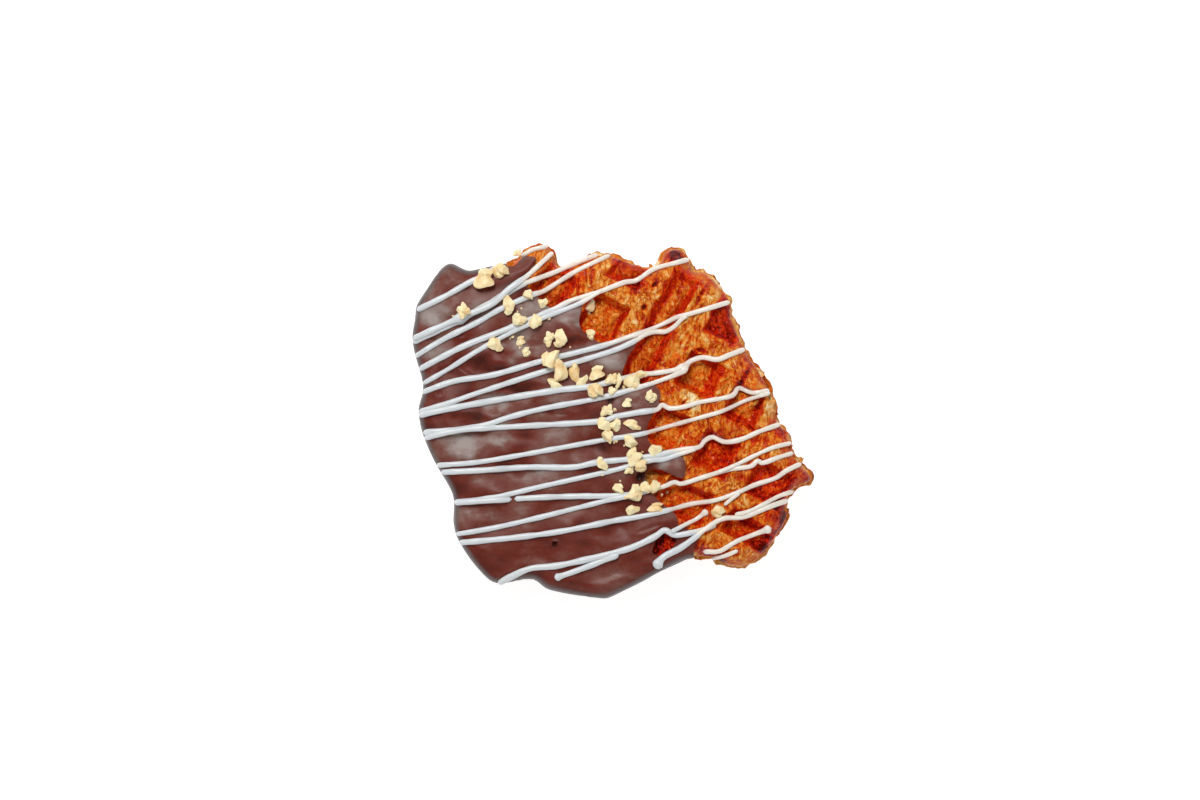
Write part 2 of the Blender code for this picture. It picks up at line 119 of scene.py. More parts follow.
# The outline on the bare and on the dipped side, the line at which the chocolate ends, and the line
# under the chocolate up to which the crust is modelled. Each runs through its plan points.
BARE_EDGE = (
    (24, -40.9), (29.5, -41), (35, -43.4), (40, -43.4), (46, -39), (52.4, -29), (52.3, -24),
    (54.5, -20.4), (58.8, -18.4), (59.5, -16), (54.8, -10), (52.9, -3.4), (49.8, 0.2), (48.5, 6),
    (44.8, 14.5), (40.6, 20.5), (36.2, 30.5), (35.4, 36), (31.5, 41.5), (27.5, 44.9), (24.4, 45.2),
    (22.6, 50), (18.9, 52), (15.1, 50.6), (14, 47.6), (10, 46.3), (-1, 50), (-7, 48.9), (-15.2, 46),
    (-16.8, 50), (-20.5, 53), (-26, 51),
)
DIPPED_EDGE = (
    (-29, 48.3), (-42, 45.2), (-49.5, 46.8), (-57.3, 36.3), (-58.7, 31), (-59.4, 23), (-56.4, 10.5),
    (-57.8, 2.3), (-54.3, -9.5), (-47.7, -21.5), (-47.2, -31), (-45, -37), (-38.7, -45.4), (-33.5, -48.3),
    (-24, -47), (-18, -50.3), (-4.3, -52.7), (2, -51.2), (19, -42.5),
)
DIP_LINE = (
    (-33.5, 52), (-31.6, 46.8), (-29, 46.4), (-26.3, 48.9), (-22.6, 48.6), (-24.3, 45), (-26.4, 42),
    (-22.8, 38), (-18.6, 34), (-14, 34.6), (-8.8, 36), (-9.8, 29), (-6, 24.9), (-1.5, 23.2), (7.2, 24.2),
    (4.4, 18.5), (2.8, 12.5), (5.5, 9.2), (11, 11), (14.2, 9), (13.5, 4.6), (10.4, -1.5), (12, -7),
    (20.8, -10.2), (21, -16.6), (14, -14.2), (9.7, -15.5), (12.5, -22), (18.7, -27.5), (20, -31),
    (25.6, -33.3), (24.2, -38.5), (24.6, -47),
)
HIDDEN_LINE = (
    (-44, 62), (-37, 46), (-30, 36), (-18, 28), (-13, 20), (-4, 10), (-2, 0), (2, -10), (0, -22),
    (6, -32), (7, -44), (8, -60),
)


def even_curve(controls: Points, step: float, closed: bool) -> Array:
    """Space points evenly along a smooth curve through the given ones.

    Args:
        controls: Points that the curve runs through, in two or three dimensions.
        step: Distance between the points that come back.
        closed: Whether the curve returns to its first point.

    Returns:
        The points, one a row.
    """
    knots = np.asarray(controls, float)
    if closed:
        knots = np.vstack([knots[-1:], knots, knots[:2]])
    else:
        knots = np.vstack([2 * knots[:1] - knots[1:2], knots, 2 * knots[-1:] - knots[-2:-1]])
    share = np.linspace(0, 1, 24, endpoint=False)[:, None]
    runs = []
    for a, b, c, d in zip(knots, knots[1:], knots[2:], knots[3:]):
        bend = (2 * a - 5 * b + 4 * c - d) * share ** 2 + (3 * b - a - 3 * c + d) * share ** 3
        runs.append(b + ((c - a) * share + bend) / 2)
    fine = np.vstack(runs + [knots[-2][None]])
    reach = np.concatenate([[0], np.cumsum(np.linalg.norm(np.diff(fine, axis=0), axis=1))])
    count = max(2, round(reach[-1] / step))
    places = np.linspace(0, reach[-1], count + 1)[: count if closed else count + 1]
    return np.stack([np.interp(places, reach, fine[:, k]) for k in range(fine.shape[1])], axis=1)


def spaced(spans: Points) -> Array:
    """Return heights that are spaced evenly over each span from low to high, with its own count."""
    return np.concatenate([np.linspace(low, high, count) for low, high, count in spans])


def eased(share: Array) -> Array:
    """Turn a share from 0 to 1 into one that starts and ends gently."""
    share = np.clip(share, 0, 1)
    return share * share * (3 - 2 * share)


def soft_min(a: Array, b: Array, blend: float) -> Array:
    """Return the lower of two values, with a corner of the given size rounded between them."""
    near = np.clip(0.5 + 0.5 * (b - a) / blend, 0, 1)
    return b + (a - b) * near - blend * near * (1 - near)


@dataclass(frozen=True)
class Unevenness:
    """Seeded lattice noise over a plane, from about -1 to 1."""

    seed: int

    def at(self, u: Array, v: Array, size: float) -> Array:
        """Return the noise at points.

        Args:
            u: First coordinates.
            v: Second coordinates.
            size: Size of one bump, in the coordinates' unit.

        Returns:
            One value for each point.
        """
        turns = np.random.default_rng(self.seed).random((64, 64)) * 2 * math.pi
        u, v = np.asarray(u) / size, np.asarray(v) / size
        column, row = np.floor(u).astype(int), np.floor(v).astype(int)
        in_u, in_v = u - column, v - row
        total = 0.0
        for du in (0, 1):
            for dv in (0, 1):
                turn = turns[(column + du) % 64, (row + dv) % 64]
                weight = eased(1 - np.abs(in_u - du)) * eased(1 - np.abs(in_v - dv))
                total = total + weight * (np.cos(turn) * (in_u - du) + np.sin(turn) * (in_v - dv))
        return 1.9 * total

    def layered(self, u: Array, v: Array, size: float, octaves: int) -> Array:
        """Return noise with finer and fainter bumps on the large ones."""
        total, weight = 0.0, 1.0
        for octave in range(octaves):
            total = total + weight * Unevenness(self.seed + octave).at(u, v, size / 2 ** octave)
            weight *= 0.5
        return total / 1.6


@dataclass
class Border:
    """A line seen from above, which tells how far points are from it and what it encloses."""

    points: Array
    closed: bool

    def distance(self, x: Array, y: Array) -> Array:
        """Return each point's distance from the line."""
        start = self.points if self.closed else self.points[:-1]
        way = (np.roll(self.points, -1, axis=0) if self.closed else self.points[1:]) - start
        length = (way ** 2).sum(1)
        flat_x, flat_y = np.ravel(x), np.ravel(y)
        found = np.empty(len(flat_x))
        for low in range(0, len(flat_x), 8192):
            part = slice(low, low + 8192)
            dx = flat_x[part, None] - start[None, :, 0]
            dy = flat_y[part, None] - start[None, :, 1]
            share = np.clip((dx * way[:, 0] + dy * way[:, 1]) / length, 0, 1)
            away = (dx - share * way[:, 0]) ** 2 + (dy - share * way[:, 1]) ** 2
            found[part] = np.sqrt(away.min(1))
        return found.reshape(np.shape(x))

    def holds(self, x: Array, y: Array) -> Array:
        """Tell which points lie inside the closed line."""
        flat_x, flat_y = np.ravel(x), np.ravel(y)
        inside = np.zeros(len(flat_x), bool)
        for (ax, ay), (bx, by) in zip(self.points, np.roll(self.points, -1, axis=0)):
            if ay == by:
                continue
            crosses = (ay > flat_y) != (by > flat_y)
            inside ^= crosses & (flat_x < ax + (flat_y - ay) * (bx - ax) / (by - ay))
        return inside.reshape(np.shape(x))

    def depth(self, x: Array, y: Array) -> Array:
        """Return the distance from the closed line, counted negative outside it."""
        return np.where(self.holds(x, y), 1.0, -1.0) * self.distance(x, y)

    def outward(self, even: int) -> Array:
        """Return the outward direction at each point of an anticlockwise line, evened out."""
        way = np.roll(self.points, -even, axis=0) - np.roll(self.points, even, axis=0)
        normal = np.stack([way[:, 1], -way[:, 0]], axis=1)
        return normal / np.linalg.norm(normal, axis=1, keepdims=True)


@dataclass(frozen=True)
class WaffleIron:
    """The iron's grid, turned on the pastry. Its s axis runs to the lower right, and t away."""

    turn: float = math.radians(-28.0)
    pitch: float = 16.8
    phase: tuple[float, float] = (-0.7, 7.0)
    mouth: float = 11.4
    floor: float = 7.6
    under_depth: float = 5.0

    def to_grid(self, x: Array, y: Array) -> tuple[Array, Array]:
        """Return places on the grid of points on the plan."""
        along, across = math.cos(self.turn), math.sin(self.turn)
        return x * along + y * across, y * along - x * across

    def from_grid(self, s: Array, t: Array) -> tuple[Array, Array]:
        """Return points on the plan of places on the grid."""
        along, across = math.cos(self.turn), math.sin(self.turn)
        return s * along - t * across, s * across + t * along

    def from_middle(self, s: Array, t: Array) -> tuple[Array, Array]:
        """Return places measured from the middles of the nearest pockets."""
        ds = s - self.phase[0] - np.round((s - self.phase[0]) / self.pitch) * self.pitch
        dt = t - self.phase[1] - np.round((t - self.phase[1]) / self.pitch) * self.pitch
        return ds, dt

    def pressed(self, ds: Array, dt: Array) -> Array:
        """Return 1 on a regular pocket's floor, 0 outside its mouth, and between on its walls."""
        reach = (np.abs(ds) ** 5 + np.abs(dt) ** 5) ** 0.2
        return eased(2 * (self.mouth / 2 - reach) / (self.mouth - self.floor))


@dataclass(frozen=True)
class Pocket:
    """One pressed pocket of the bare side, measured on the iron's grid.

    Its four walls are the low and high s sides, then the low and high t sides. Browning runs from 0
    for pale leaves to 1 for burnt sugar.
    """

    s: tuple[float, float]
    t: tuple[float, float]
    walls: tuple[float, float, float, float] = (1.6, 1.6, 1.6, 1.6)
    wall_baked: tuple[float, float, float, float] = (0.7, 0.8, 0.8, 0.7)
    floor_baked: float = 0.52
    depth: float = 3.9
    pillow: float = 0.7
    sugar: float = 1.0

    def inside(self, s: Array, t: Array) -> list[Array]:
        """Return how far within each of the four sides of the mouth places are."""
        return [s - self.s[0], self.s[1] - s, t - self.t[0], self.t[1] - t]

    def press(self, s: Array, t: Array) -> tuple[Array, Array]:
        """Return how deep the pocket is at places, and which share of the crust is its own.

        Args:
            s: Places along the grid.
            t: Places across the grid.

        Returns:
            The depth in millimetres, and 1 well inside the mouth to 0 outside it.
        """
        share = None
        foot = None
        for within, wall in zip(self.inside(s, t), self.walls):
            share = within / wall if share is None else soft_min(share, within / wall, 0.35)
            foot = within - wall if foot is None else soft_min(foot, within - wall, 1.2)
        swell = self.pillow * eased((foot - 0.1) / 1.5) + 0.25 * self.pillow * eased(foot / 4.0)
        return self.depth * eased(share) - swell, eased(share / 0.3 + 0.5)

    def on_floor(self, s: Array, t: Array) -> tuple[Array, Array]:
        """Return the number of each place's nearest wall, and 1 on the floor to 0 on that wall."""
        within = self.inside(s, t)
        nearest = np.argmin(np.stack([w / wall for w, wall in zip(within, self.walls)]), axis=0)
        past = np.choose(nearest, [w - wall for w, wall in zip(within, self.walls)])
        return nearest, eased((past + 0.25) / 0.7)

    def browning(self, s: Array, t: Array) -> Array:
        """Return how dark the crust is baked at places inside the mouth."""
        nearest, floor = self.on_floor(s, t)
        wall_tone = np.choose(nearest, self.wall_baked)
        return wall_tone + (self.floor_baked - wall_tone) * floor

    def candied(self, s: Array, t: Array) -> Array:
        """Return how far melted sugar colours the pocket: its walls wholly, its floor as it says."""
        return 1 + (self.sugar - 1) * self.on_floor(s, t)[1]


@dataclass(frozen=True)
class Oval:
    """An elliptical place: its middle, its half axes, and its turn in degrees."""

    x: float
    y: float
    long: float
    wide: float
    turn: float = 0.0

    def reach(self, x: Array, y: Array) -> Array:
        """Return how far out points are: 0 in the middle, and 1 where the half axes end."""
        turn = math.radians(self.turn)
        dx, dy = x - self.x, y - self.y
        along = (dx * math.cos(turn) + dy * math.sin(turn)) / self.long
        across = (dy * math.cos(turn) - dx * math.sin(turn)) / self.wide
        return np.sqrt(along ** 2 + across ** 2)


@dataclass(frozen=True)
class Mark(Oval):
    """A small place on the crust that differs from what lies around it, measured on the iron's grid.

    Baked is added to the browning, and lift is in millimetres.
    """

    baked: float = 0.0
    lift: float = 0.0

    def weight(self, s: Array, t: Array) -> Array:
        """Return 1 at the middle of the mark and 0 outside it."""
        return eased(1.35 - self.reach(s, t))


# Some walls that face away from the key light are given lighter tones: painted light that makes up for their
# shade.
POCKETS = (
    Pocket((-23.2, -10.9), (19.4, 32.4), (1.5, 1.5, 1.7, 2.3),
        (0.74, 0.76, 0.64, 0.6), 0.48, 3.9, 0.7, 0.85),
    Pocket((-22.4, -11.4), (37.4, 56.0), (2.0, 1.5, 1.7, 1.5),
        (0.74, 0.72, 0.78, 0.64), 0.71, 3.2, 0.3, 0.45),
    Pocket((-40.0, -28.4), (18.0, 33.4), (1.5, 2.4, 1.5, 2.0),
        (0.6, 0.76, 0.7, 0.62), 0.6, 3.4, 0.4, 0.45),
    Pocket((-5.2, 3.8), (10.0, 50.0), (2.5, 2.0, 2.0, 3.0), (0.74, 0.76, 0.6, 0.64), 0.53, 3.0, 0.7, 0.5),
    Pocket((10.8, 21.9), (36.7, 60.0), (1.7, 1.2, 1.7, 1.5), (0.74, 0.6, 0.82, 0.6), 0.8, 3.2, 0.3, 0.7),
    Pocket((10.7, 22.7), (18.7, 30.1), (1.5, 3.6, 1.9, 1.9), (0.7, 0.72, 0.66, 0.76), 0.42),
    Pocket((27.1, 38.3), (17.0, 28.6), (1.6, 2.6, 2.3, 1.6),
        (0.68, 0.76, 0.78, 0.6), 0.5, 3.9, 0.7, 0.85),
    Pocket((9.6, 20.8), (0.4, 12.1), (2.2, 1.4, 1.6, 1.7), (0.68, 0.5, 0.62, 0.7), 0.46),
    Pocket((25.6, 37.5), (0.0, 11.6), (2.0, 3.2, 2.4, 1.8), (0.74, 0.76, 0.72, 0.8), 0.64),
    Pocket((43.6, 56.0), (-0.2, 11.2), (1.8, 1.6, 2.0, 1.8), (0.66, 0.8, 0.78, 0.72), 0.72, 3.0, 0.6),
    Pocket((9.0, 22.0), (-16.5, -5.4), (1.6, 1.6, 1.6, 1.6),
        (0.6, 0.54, 0.48, 0.62), 0.36, 3.0, 0.7, 0.7),
    Pocket((22.6, 37.5), (-15.8, -5.2), (1.6, 1.6, 1.6, 2.2), (0.62, 0.72, 0.68, 0.76), 0.52),
    Pocket((43.4, 58.6), (-13.6, -5.6), (1.6, 2.8, 1.6, 2.8), (0.68, 0.82, 0.72, 0.8), 0.58, 3.7),
    Pocket((28.4, 36.8), (-31.0, -21.4), (1.3, 1.3, 1.3, 1.3), (0.94, 0.84, 0.9, 0.82), 0.8, 5.0),
)
MARKS = (
    Mark(-27.1, 34.8, 3.2, 0.55, -63, 0.26, -0.3), Mark(-25.4, 35.0, 3.4, 0.5, -63, 0.24, -0.25),
    Mark(-27.9, 31.2, 2.8, 0.55, -63, 0.24, -0.25), Mark(-26.3, 33.2, 3.0, 0.6, -63, -0.14, 0.1),
    Mark(-24.4, 36.3, 2.6, 0.5, -63, -0.1, 0.1), Mark(-22.9, 40.6, 1.4, 3.6, 0, -0.14),
    Mark(-20.8, 35.4, 3.2, 1.2, 0, -0.1), Mark(-12.4, 37.2, 1.9, 1.2, 20, 0.26, -0.2),
    Mark(-8.0, 41.9, 1.5, 0.7, 60, 0.4, -0.45), Mark(-11.5, 39.5, 1.1, 1.2, 0, 0.4, -0.55),
    Mark(-6.8, 39.1, 1.9, 1.1, 0, -0.26, 0.25), Mark(-6.8, 39.1, 0.7, 0.5, 0, 0.26, -0.2),
    Mark(-7.6, 34.5, 1.3, 0.75, 80, 0.46, -0.5), Mark(-8.0, 29.2, 1.1, 0.9, 0, -0.26, 0.2),
    Mark(-9.2, 34.8, 2.6, 2.6, 0, -0.1), Mark(-9.8, 26.7, 1.6, 2.4, 0, -0.06),
    Mark(-8.8, 44.6, 1.6, 2.4, 0, 0.1), Mark(5.6, 45.4, 5.0, 0.7, 88, 0.32, -0.45),
    Mark(7.2, 41.2, 2.6, 0.4, 84, 0.3, -0.25), Mark(-0.8, 47.4, 2.2, 5.6, 0, 0.12),
    Mark(9.2, 46.6, 2.3, 3.8, 0, -0.04, 0.15), Mark(8.9, 45.8, 1.1, 2.0, 0, -0.05, 0.15),
    Mark(11.1, 50.6, 1.6, 1.0, 0, 0.34), Mark(7.9, 29.9, 3.2, 0.6, 84, -0.2, 0.1),
    Mark(6.5, 33.0, 2.6, 0.5, 86, -0.16, 0.1), Mark(5.9, 25.6, 2.4, 0.6, 86, -0.12),
    Mark(8.8, 34.4, 2.2, 0.5, 82, 0.12, -0.1), Mark(15.7, 33.6, 2.4, 1.3, 0, -0.06),
    Mark(13.4, 31.2, 2.6, 0.7, 12, 0.34, -0.3), Mark(12.6, 34.8, 1.8, 1.2, 0, -0.12),
    Mark(18.6, 34.6, 2.2, 1.0, -15, -0.05), Mark(17.4, 16.9, 3.8, 2.4, -6, -0.42, 0.2),
    Mark(16.2, 15.6, 1.5, 0.4, 70, 0.62, -0.4), Mark(18.2, 14.3, 1.4, 0.6, 55, 0.38, -0.25),
    Mark(15.3, 16.9, 1.7, 0.3, 76, 0.22), Mark(18.7, 17.3, 1.5, 0.3, 78, 0.18),
    Mark(19.8, 15.0, 1.9, 1.1, 0, -0.16), Mark(10.4, 16.2, 2.0, 1.6, 0, 0.06, 0.2),
    Mark(20.3, 4.9, 2.8, 0.5, 88, -0.24, 0.1), Mark(21.6, 7.4, 2.6, 0.4, 88, 0.16, -0.1),
    Mark(23.4, 4.6, 2.8, 0.4, 88, 0.14, -0.1), Mark(22.6, 2.6, 2.0, 0.5, 88, -0.14),
    Mark(28.4, 30.4, 3.8, 0.9, 88, 0.42, -0.7), Mark(31.3, 32.8, 2.2, 2.2, 0, -0.12),
    Mark(26.0, 31.0, 1.8, 2.2, 0, -0.06), Mark(38.6, 26.6, 2.2, 3.6, 15, -0.36, 0.15),
    Mark(36.1, 24.4, 2.1, 0.5, 75, 0.6, -0.6), Mark(34.8, 24.4, 2.1, 0.7, 75, -0.16, 0.5),
    Mark(33.2, 23.0, 1.9, 0.5, 60, -0.08, 0.3), Mark(31.3, 14.6, 4.2, 2.0, 0, -0.06, 0.3),
    Mark(30.0, 13.0, 1.6, 0.4, 50, 0.16, -0.1), Mark(33.0, 14.4, 1.8, 0.4, 50, 0.16, -0.1),
    Mark(33.8, -2.6, 3.8, 2.4, 0, -0.16, 0.15), Mark(34.4, -2.6, 1.8, 0.3, 82, 0.26, -0.1),
    Mark(35.7, -2.3, 1.8, 0.3, 82, 0.22, -0.1), Mark(44.8, -2.8, 3.0, 2.0, 0, -0.18, 0.35),
    Mark(44.8, -2.8, 1.5, 0.9, 0, 0.1, -0.1), Mark(41.2, 15.6, 3.6, 2.6, -30, 0.14),
    Mark(46.5, 21.2, 2.8, 2.2, 0, 0.24, -0.2), Mark(47.8, 14.0, 1.8, 1.0, -30, -0.2),
    Mark(56.4, 15.2, 1.8, 1.6, 0, -0.16), Mark(56.6, -0.8, 4.0, 3.6, 0, 0.24),
    Mark(59.3, -3.8, 1.2, 3.2, 10, 0.26), Mark(44.7, -14.8, 4.6, 2.2, 20, -0.04, 0.1),
    Mark(52.5, -18.6, 7.0, 2.8, 28, -0.12, 0.3), Mark(48.1, -21.5, 1.2, 1.1, 0, 0.6, -0.7),
    Mark(56.2, -12.2, 2.8, 2.2, 0, 0.2, -0.3), Mark(41.7, -20.9, 3.2, 2.2, 0, 0.22, -0.2),
    Mark(40.1, -23.5, 1.0, 0.9, 0, -0.34, 0.2), Mark(-6.5, 52.4, 2.6, 2.1, 0, 0.5, -0.4),
    Mark(-9.6, 52.9, 1.2, 2.2, 0, -0.16), Mark(-41.0, 35.4, 4.0, 3.0, 0, -0.1),
    Mark(24.6, 17.6, 1.4, 3.0, 0, 0.12), Mark(23.6, 24.6, 0.9, 3.4, 0, -0.06, 0.1),
    Mark(60.3, 12.3, 1.6, 1.6, 0, 0.1), Mark(48.6, 21.6, 1.0, 2.0, 0, -0.3),
    # Mark(29.2, -26.2) darkens the low s side of the open pocket under the hole: painted shadow.
    Mark(29.2, -26.2, 1.5, 4.5, 0, 0.3), Mark(-8.0, 52.0, 3.2, 2.6, 0, 0.22),
    Mark(58.0, 0.0, 2.4, 5.0, 0, 0.1),
)


@dataclass(frozen=True)
class Dent(Oval):
    """A mark in the chocolate: a pinhole, a burst bubble's ring, a crease or a gap.

    Lift and lip are in millimetres, and dark says how much shade is in it.
    """

    lift: float = 0.0
    lip: float = 0.0
    dark: float = 0.0

    def height(self, x: Array, y: Array) -> Array:
        """Return how far the mark lifts the surface at points."""
        reach = self.reach(x, y)
        return self.lift * eased(1.4 - reach) + self.lip * np.exp(-((reach - 1.5) / 0.45) ** 2)


DENTS = (
    Dent(-17.0, -36.4, 0.75, 0.75, 0, -1.1, 0.3, 0.9), Dent(8.2, -16.4, 1.7, 1.1, 60, -1.2, 0.0, 1.0),
    Dent(-0.4, 6.2, 1.4, 0.9, 30, -0.9, 0.0, 0.8), Dent(2.4, 11.0, 1.2, 0.8, -20, -0.8, 0.0, 0.8),
    Dent(-51.4, 8.4, 1.1, 0.9, 0, -0.12, 0.12), Dent(-38.5, -39.0, 1.0, 0.8, 30, -0.12, 0.12),
    Dent(-44.2, 15.4, 3.2, 0.35, -35, -0.22, 0.06), Dent(-25.0, -39.8, 0.5, 0.5, 0, -0.15, 0.1),
    Dent(-21.2, -45.2, 1.6, 0.6, 10, -0.35, 0.1, 0.3), Dent(-48.6, 43.4, 2.2, 1.4, 60, -0.5, 0.0, 0.2),
    Dent(-45.0, 26.0, 1.4, 1.0, 0, -0.2, 0.1), Dent(-52.0, 38.6, 1.6, 0.7, 20, 0.15, 0.0),
    Dent(-15.2, 2.4, 2.0, 0.6, 0, -0.25, 0.06, 0.2), Dent(-53.0, -7.0, 1.0, 0.7, 0, -0.2, 0.1),
    Dent(-54.6, 26.8, 0.6, 0.5, 20, -0.25, 0.16), Dent(-48.4, -30.4, 0.5, 0.4, 0, -0.2, 0.16),
    Dent(-51.0, 30.2, 0.5, 0.8, 10, -0.2, 0.14), Dent(-23.6, -2.6, 0.5, 0.4, 0, -0.2, 0.14),
    Dent(-44.6, -27.6, 1.2, 0.4, 60, 0.14, 0.0), Dent(11.0, -31.6, 3.4, 0.6, 20, -0.3, 0.1),
)


@dataclass(frozen=True)
class Swell(Oval):
    """A broad soft place where the chocolate leans: a positive lean falls away from the viewer."""

    lean: float = 0.0

    def weight(self, x: Array, y: Array) -> Array:
        """Return 1 in the middle of the swell and 0 outside it."""
        wander_x, wander_y = (1.6 * Unevenness(seed).at(x, y, 5.0) for seed in (91, 92))
        return eased((1.9 - self.reach(x + wander_x, y + wander_y)) / 1.4)

    def height(self, x: Array, y: Array) -> Array:
        """Return how far the swell lifts the surface at points."""
        return -self.lean * (y - self.y) * self.weight(x, y)


SWELLS = (
    Swell(-42.4, 36.7, 5.0, 3.2, 20, 0.28), Swell(-24.4, 34.8, 3.4, 2.6, 20, 0.26),
    Swell(-29.5, 21.4, 5.6, 3.2, 12, 0.3), Swell(-21.8, 21.2, 2.6, 2.4, 0, 0.22),
    Swell(-10.7, 30.6, 4.6, 3.6, 0, 0.27), Swell(-0.5, 19.1, 3.6, 2.0, 10, 0.24),
    Swell(-44.0, -7.0, 4.5, 3.4, 0, 0.3), Swell(-32.0, -6.0, 6.0, 1.9, 0, 0.22),
    Swell(-30.0, -18.0, 8.5, 2.9, 6, 0.27), Swell(-42.5, -27.5, 4.0, 3.0, 0, 0.26),
    Swell(-7.0, -10.0, 3.4, 2.4, 25, 0.25), Swell(2.5, -47.5, 6.5, 2.6, 10, 0.24),
    Swell(-51.5, 21.0, 3.0, 3.4, 0, 0.22), Swell(-54.0, 30.0, 2.4, 3.0, 60, 0.24),
    Swell(-35.5, 4.4, 3.4, 1.9, 4, 0.28), Swell(-0.5, -34.0, 4.0, 2.6, 10, 0.18),
    Swell(-37.0, 17.4, 4.2, 2.4, 0, -0.2), Swell(-43.9, 25.4, 3.2, 2.2, 20, -0.2),
    Swell(-11.4, 24.1, 3.2, 1.8, 0, -0.2), Swell(-27.0, 10.6, 6.4, 1.8, 6, -0.16),
    Swell(-21.4, 5.0, 3.4, 1.6, 6, -0.18), Swell(-43.6, 1.6, 3.6, 1.8, 0, -0.2),
    Swell(-13.0, -27.0, 5.0, 2.4, 8, 0.14), Swell(-22.0, -34.5, 6.0, 2.0, 6, -0.12),
    Swell(16.6, -12.2, 3.6, 2.2, -12, 0.16),
)


@dataclass
class Form:
    """The croffle's form: its outline, its dip line, and the heights of its surfaces.

    The side profiles are pairs of a height and of how far the side there stands in from the outline.
    """

    iron: WaffleIron = field(default_factory=WaffleIron)
    ridge_top: float = 19.8
    ridge_crown: float = 0.6
    core_top: float = 18.4
    coat_top: float = 21.7
    coat_dimple: float = 0.9
    coat_lip: float = 2.0
    coat_film: float = 0.5
    coat_edge: float = 2.4
    hole: tuple[float, float] = (15.6, -36.2)
    hole_half: tuple[float, float] = (3.0, 3.4)
    hole_lean: float = 0.45
    pastry_side: tuple[tuple[float, float], ...] = (
        (-1.0, 4.0), (1.2, 2.2), (4.4, 0.6), (6.4, 0.5), (8.4, 0.0), (11.0, 0.4), (13.4, 0.2),
        (16.4, 1.2), (18.8, 3.0), (22.0, 8.5),
    )
    coat_side: tuple[tuple[float, float], ...] = (
        (2.0, 0.9), (4.5, 0.1), (9.0, 0.0), (14.0, 0.15), (17.6, 0.6), (20.0, 1.7), (21.4, 4.0),
        (23.4, 12.0),
    )
    core_side: tuple[tuple[float, float], ...] = (
        (-2.0, 1.6), (4.0, 0.3), (9.0, 0.0), (14.0, 0.5), (17.0, 1.7), (18.7, 4.2),
    )

    def __post_init__(self) -> None:
        """Work out the borders."""
        self.outline = Border(even_curve(BARE_EDGE + DIPPED_EDGE, 0.7, closed=True), closed=True)
        self.dip_line = Border(even_curve(DIP_LINE, 0.6, closed=False), closed=False)
        self.dipped = Border(self.left_of(self.dip_line.points), closed=True)
        self.hidden = Border(self.left_of(even_curve(HIDDEN_LINE, 2.0, closed=False)), closed=True)

    def left_of(self, line: Array) -> Array:
        """Return a loop round everything to the left of a line that runs towards the viewer."""
        far = [(line[0, 0], BEYOND), (-BEYOND, BEYOND)]
        near = [(-BEYOND, -BEYOND), (line[-1, 0], -BEYOND)]
        return np.vstack([line[::-1], far, near])

    def under_coat(self, x: Array, y: Array) -> Array:
        """Return how far points lie under the chocolate, negative on the bare side."""
        return np.where(self.dipped.holds(x, y), 1.0, -1.0) * self.dip_line.distance(x, y)

    def cap(self, side: Points, depth: Array, upper: bool) -> Array:
        """Return the height at which a side profile closes over or under a point.

        Args:
            side: The profile, from low to high.
            depth: How far inside the outline the points are.
            upper: Whether the upper half of the profile is meant, and not the lower.

        Returns:
            One height for each point.
        """
        widest = min(range(len(side)), key=lambda k: side[k][1])
        half = side[widest:] if upper else side[: widest + 1][::-1]
        heights, insets = np.array(half).T
        insets = np.maximum.accumulate(insets) + np.arange(len(insets)) * 1e-6
        return np.interp(depth, insets, heights)

    def uneven_grid(self, x: Array, y: Array) -> tuple[Array, Array]:
        """Return places on the iron's grid, shifted as the dough gave way unevenly."""
        s, t = self.iron.to_grid(x, y)
        s = s + 0.50 * Unevenness(11).at(x, y, 7.0) + 0.13 * Unevenness(12).at(x, y, 2.6)
        t = t + 0.50 * Unevenness(13).at(x, y, 7.0) + 0.13 * Unevenness(14).at(x, y, 2.6)
        return s, t

    def ridge(self, x: Array, y: Array) -> Array:
        """Return the height of the crust between the pockets, without its fine relief."""
        return self.ridge_top + 0.45 * Unevenness(21).layered(x, y, 9.0, 3)

    def pastry_top(self, x: Array, y: Array) -> Array:
        """Return the height of the waffled top, down to where its sides take over."""
        s, t = self.uneven_grid(x, y)
        pressed, own = np.zeros_like(x), np.zeros_like(x)
        for pocket in POCKETS:
            depth, share = pocket.press(s, t)
            pressed, own = np.maximum(pressed, depth * share), np.maximum(own, share)
        under = self.under_coat(x, y)
        pressed = pressed * (1 - eased(under / 1.6))
        crown = self.ridge_crown * eased(1 - own)
        height = self.ridge(x, y) + crown - pressed * (1 + 0.10 * Unevenness(23).at(x, y, 7.0))
        height = height + self.dough_relief(x, y, own)
        covered = height + (np.minimum(height, self.core_top) - height) * eased((under - 0.2) / 1.0)
        rim = self.cap(self.pastry_side, self.outline.depth(x, y), upper=True)
        return soft_min(covered, rim + 0.3 * Unevenness(25).at(x, y, 3.0), 0.9)

    def dough_relief(self, x: Array, y: Array, own: Array) -> Array:
        """Return the relief of the baked layers: steps where a leaf ends, blisters and wrinkles."""
        s, t = self.iron.to_grid(x, y)
        bend = 2.4 * Unevenness(31).at(x, y, 15.0) + 0.7 * Unevenness(32).at(x, y, 4.0)
        across = s / 1.9 + bend
        step = across - np.floor(across)
        leaves = 0.30 * (step ** 2 - 0.4) * eased(0.6 + Unevenness(33).at(x, y, 6.0))
        blisters = 0.24 * np.abs(Unevenness(34).at(x, y, 2.4)) - 0.08
        pebbles = (0.06 + 0.16 * own) * Unevenness(40).at(x, y, 1.2)
        marks = sum(mark.lift * mark.weight(s, t) for mark in MARKS if mark.lift)
        folds = self.wrinkles(s, t) * (1 - 0.35 * own)
        return (leaves + blisters) * (1 - 0.6 * own) + folds + pebbles + marks

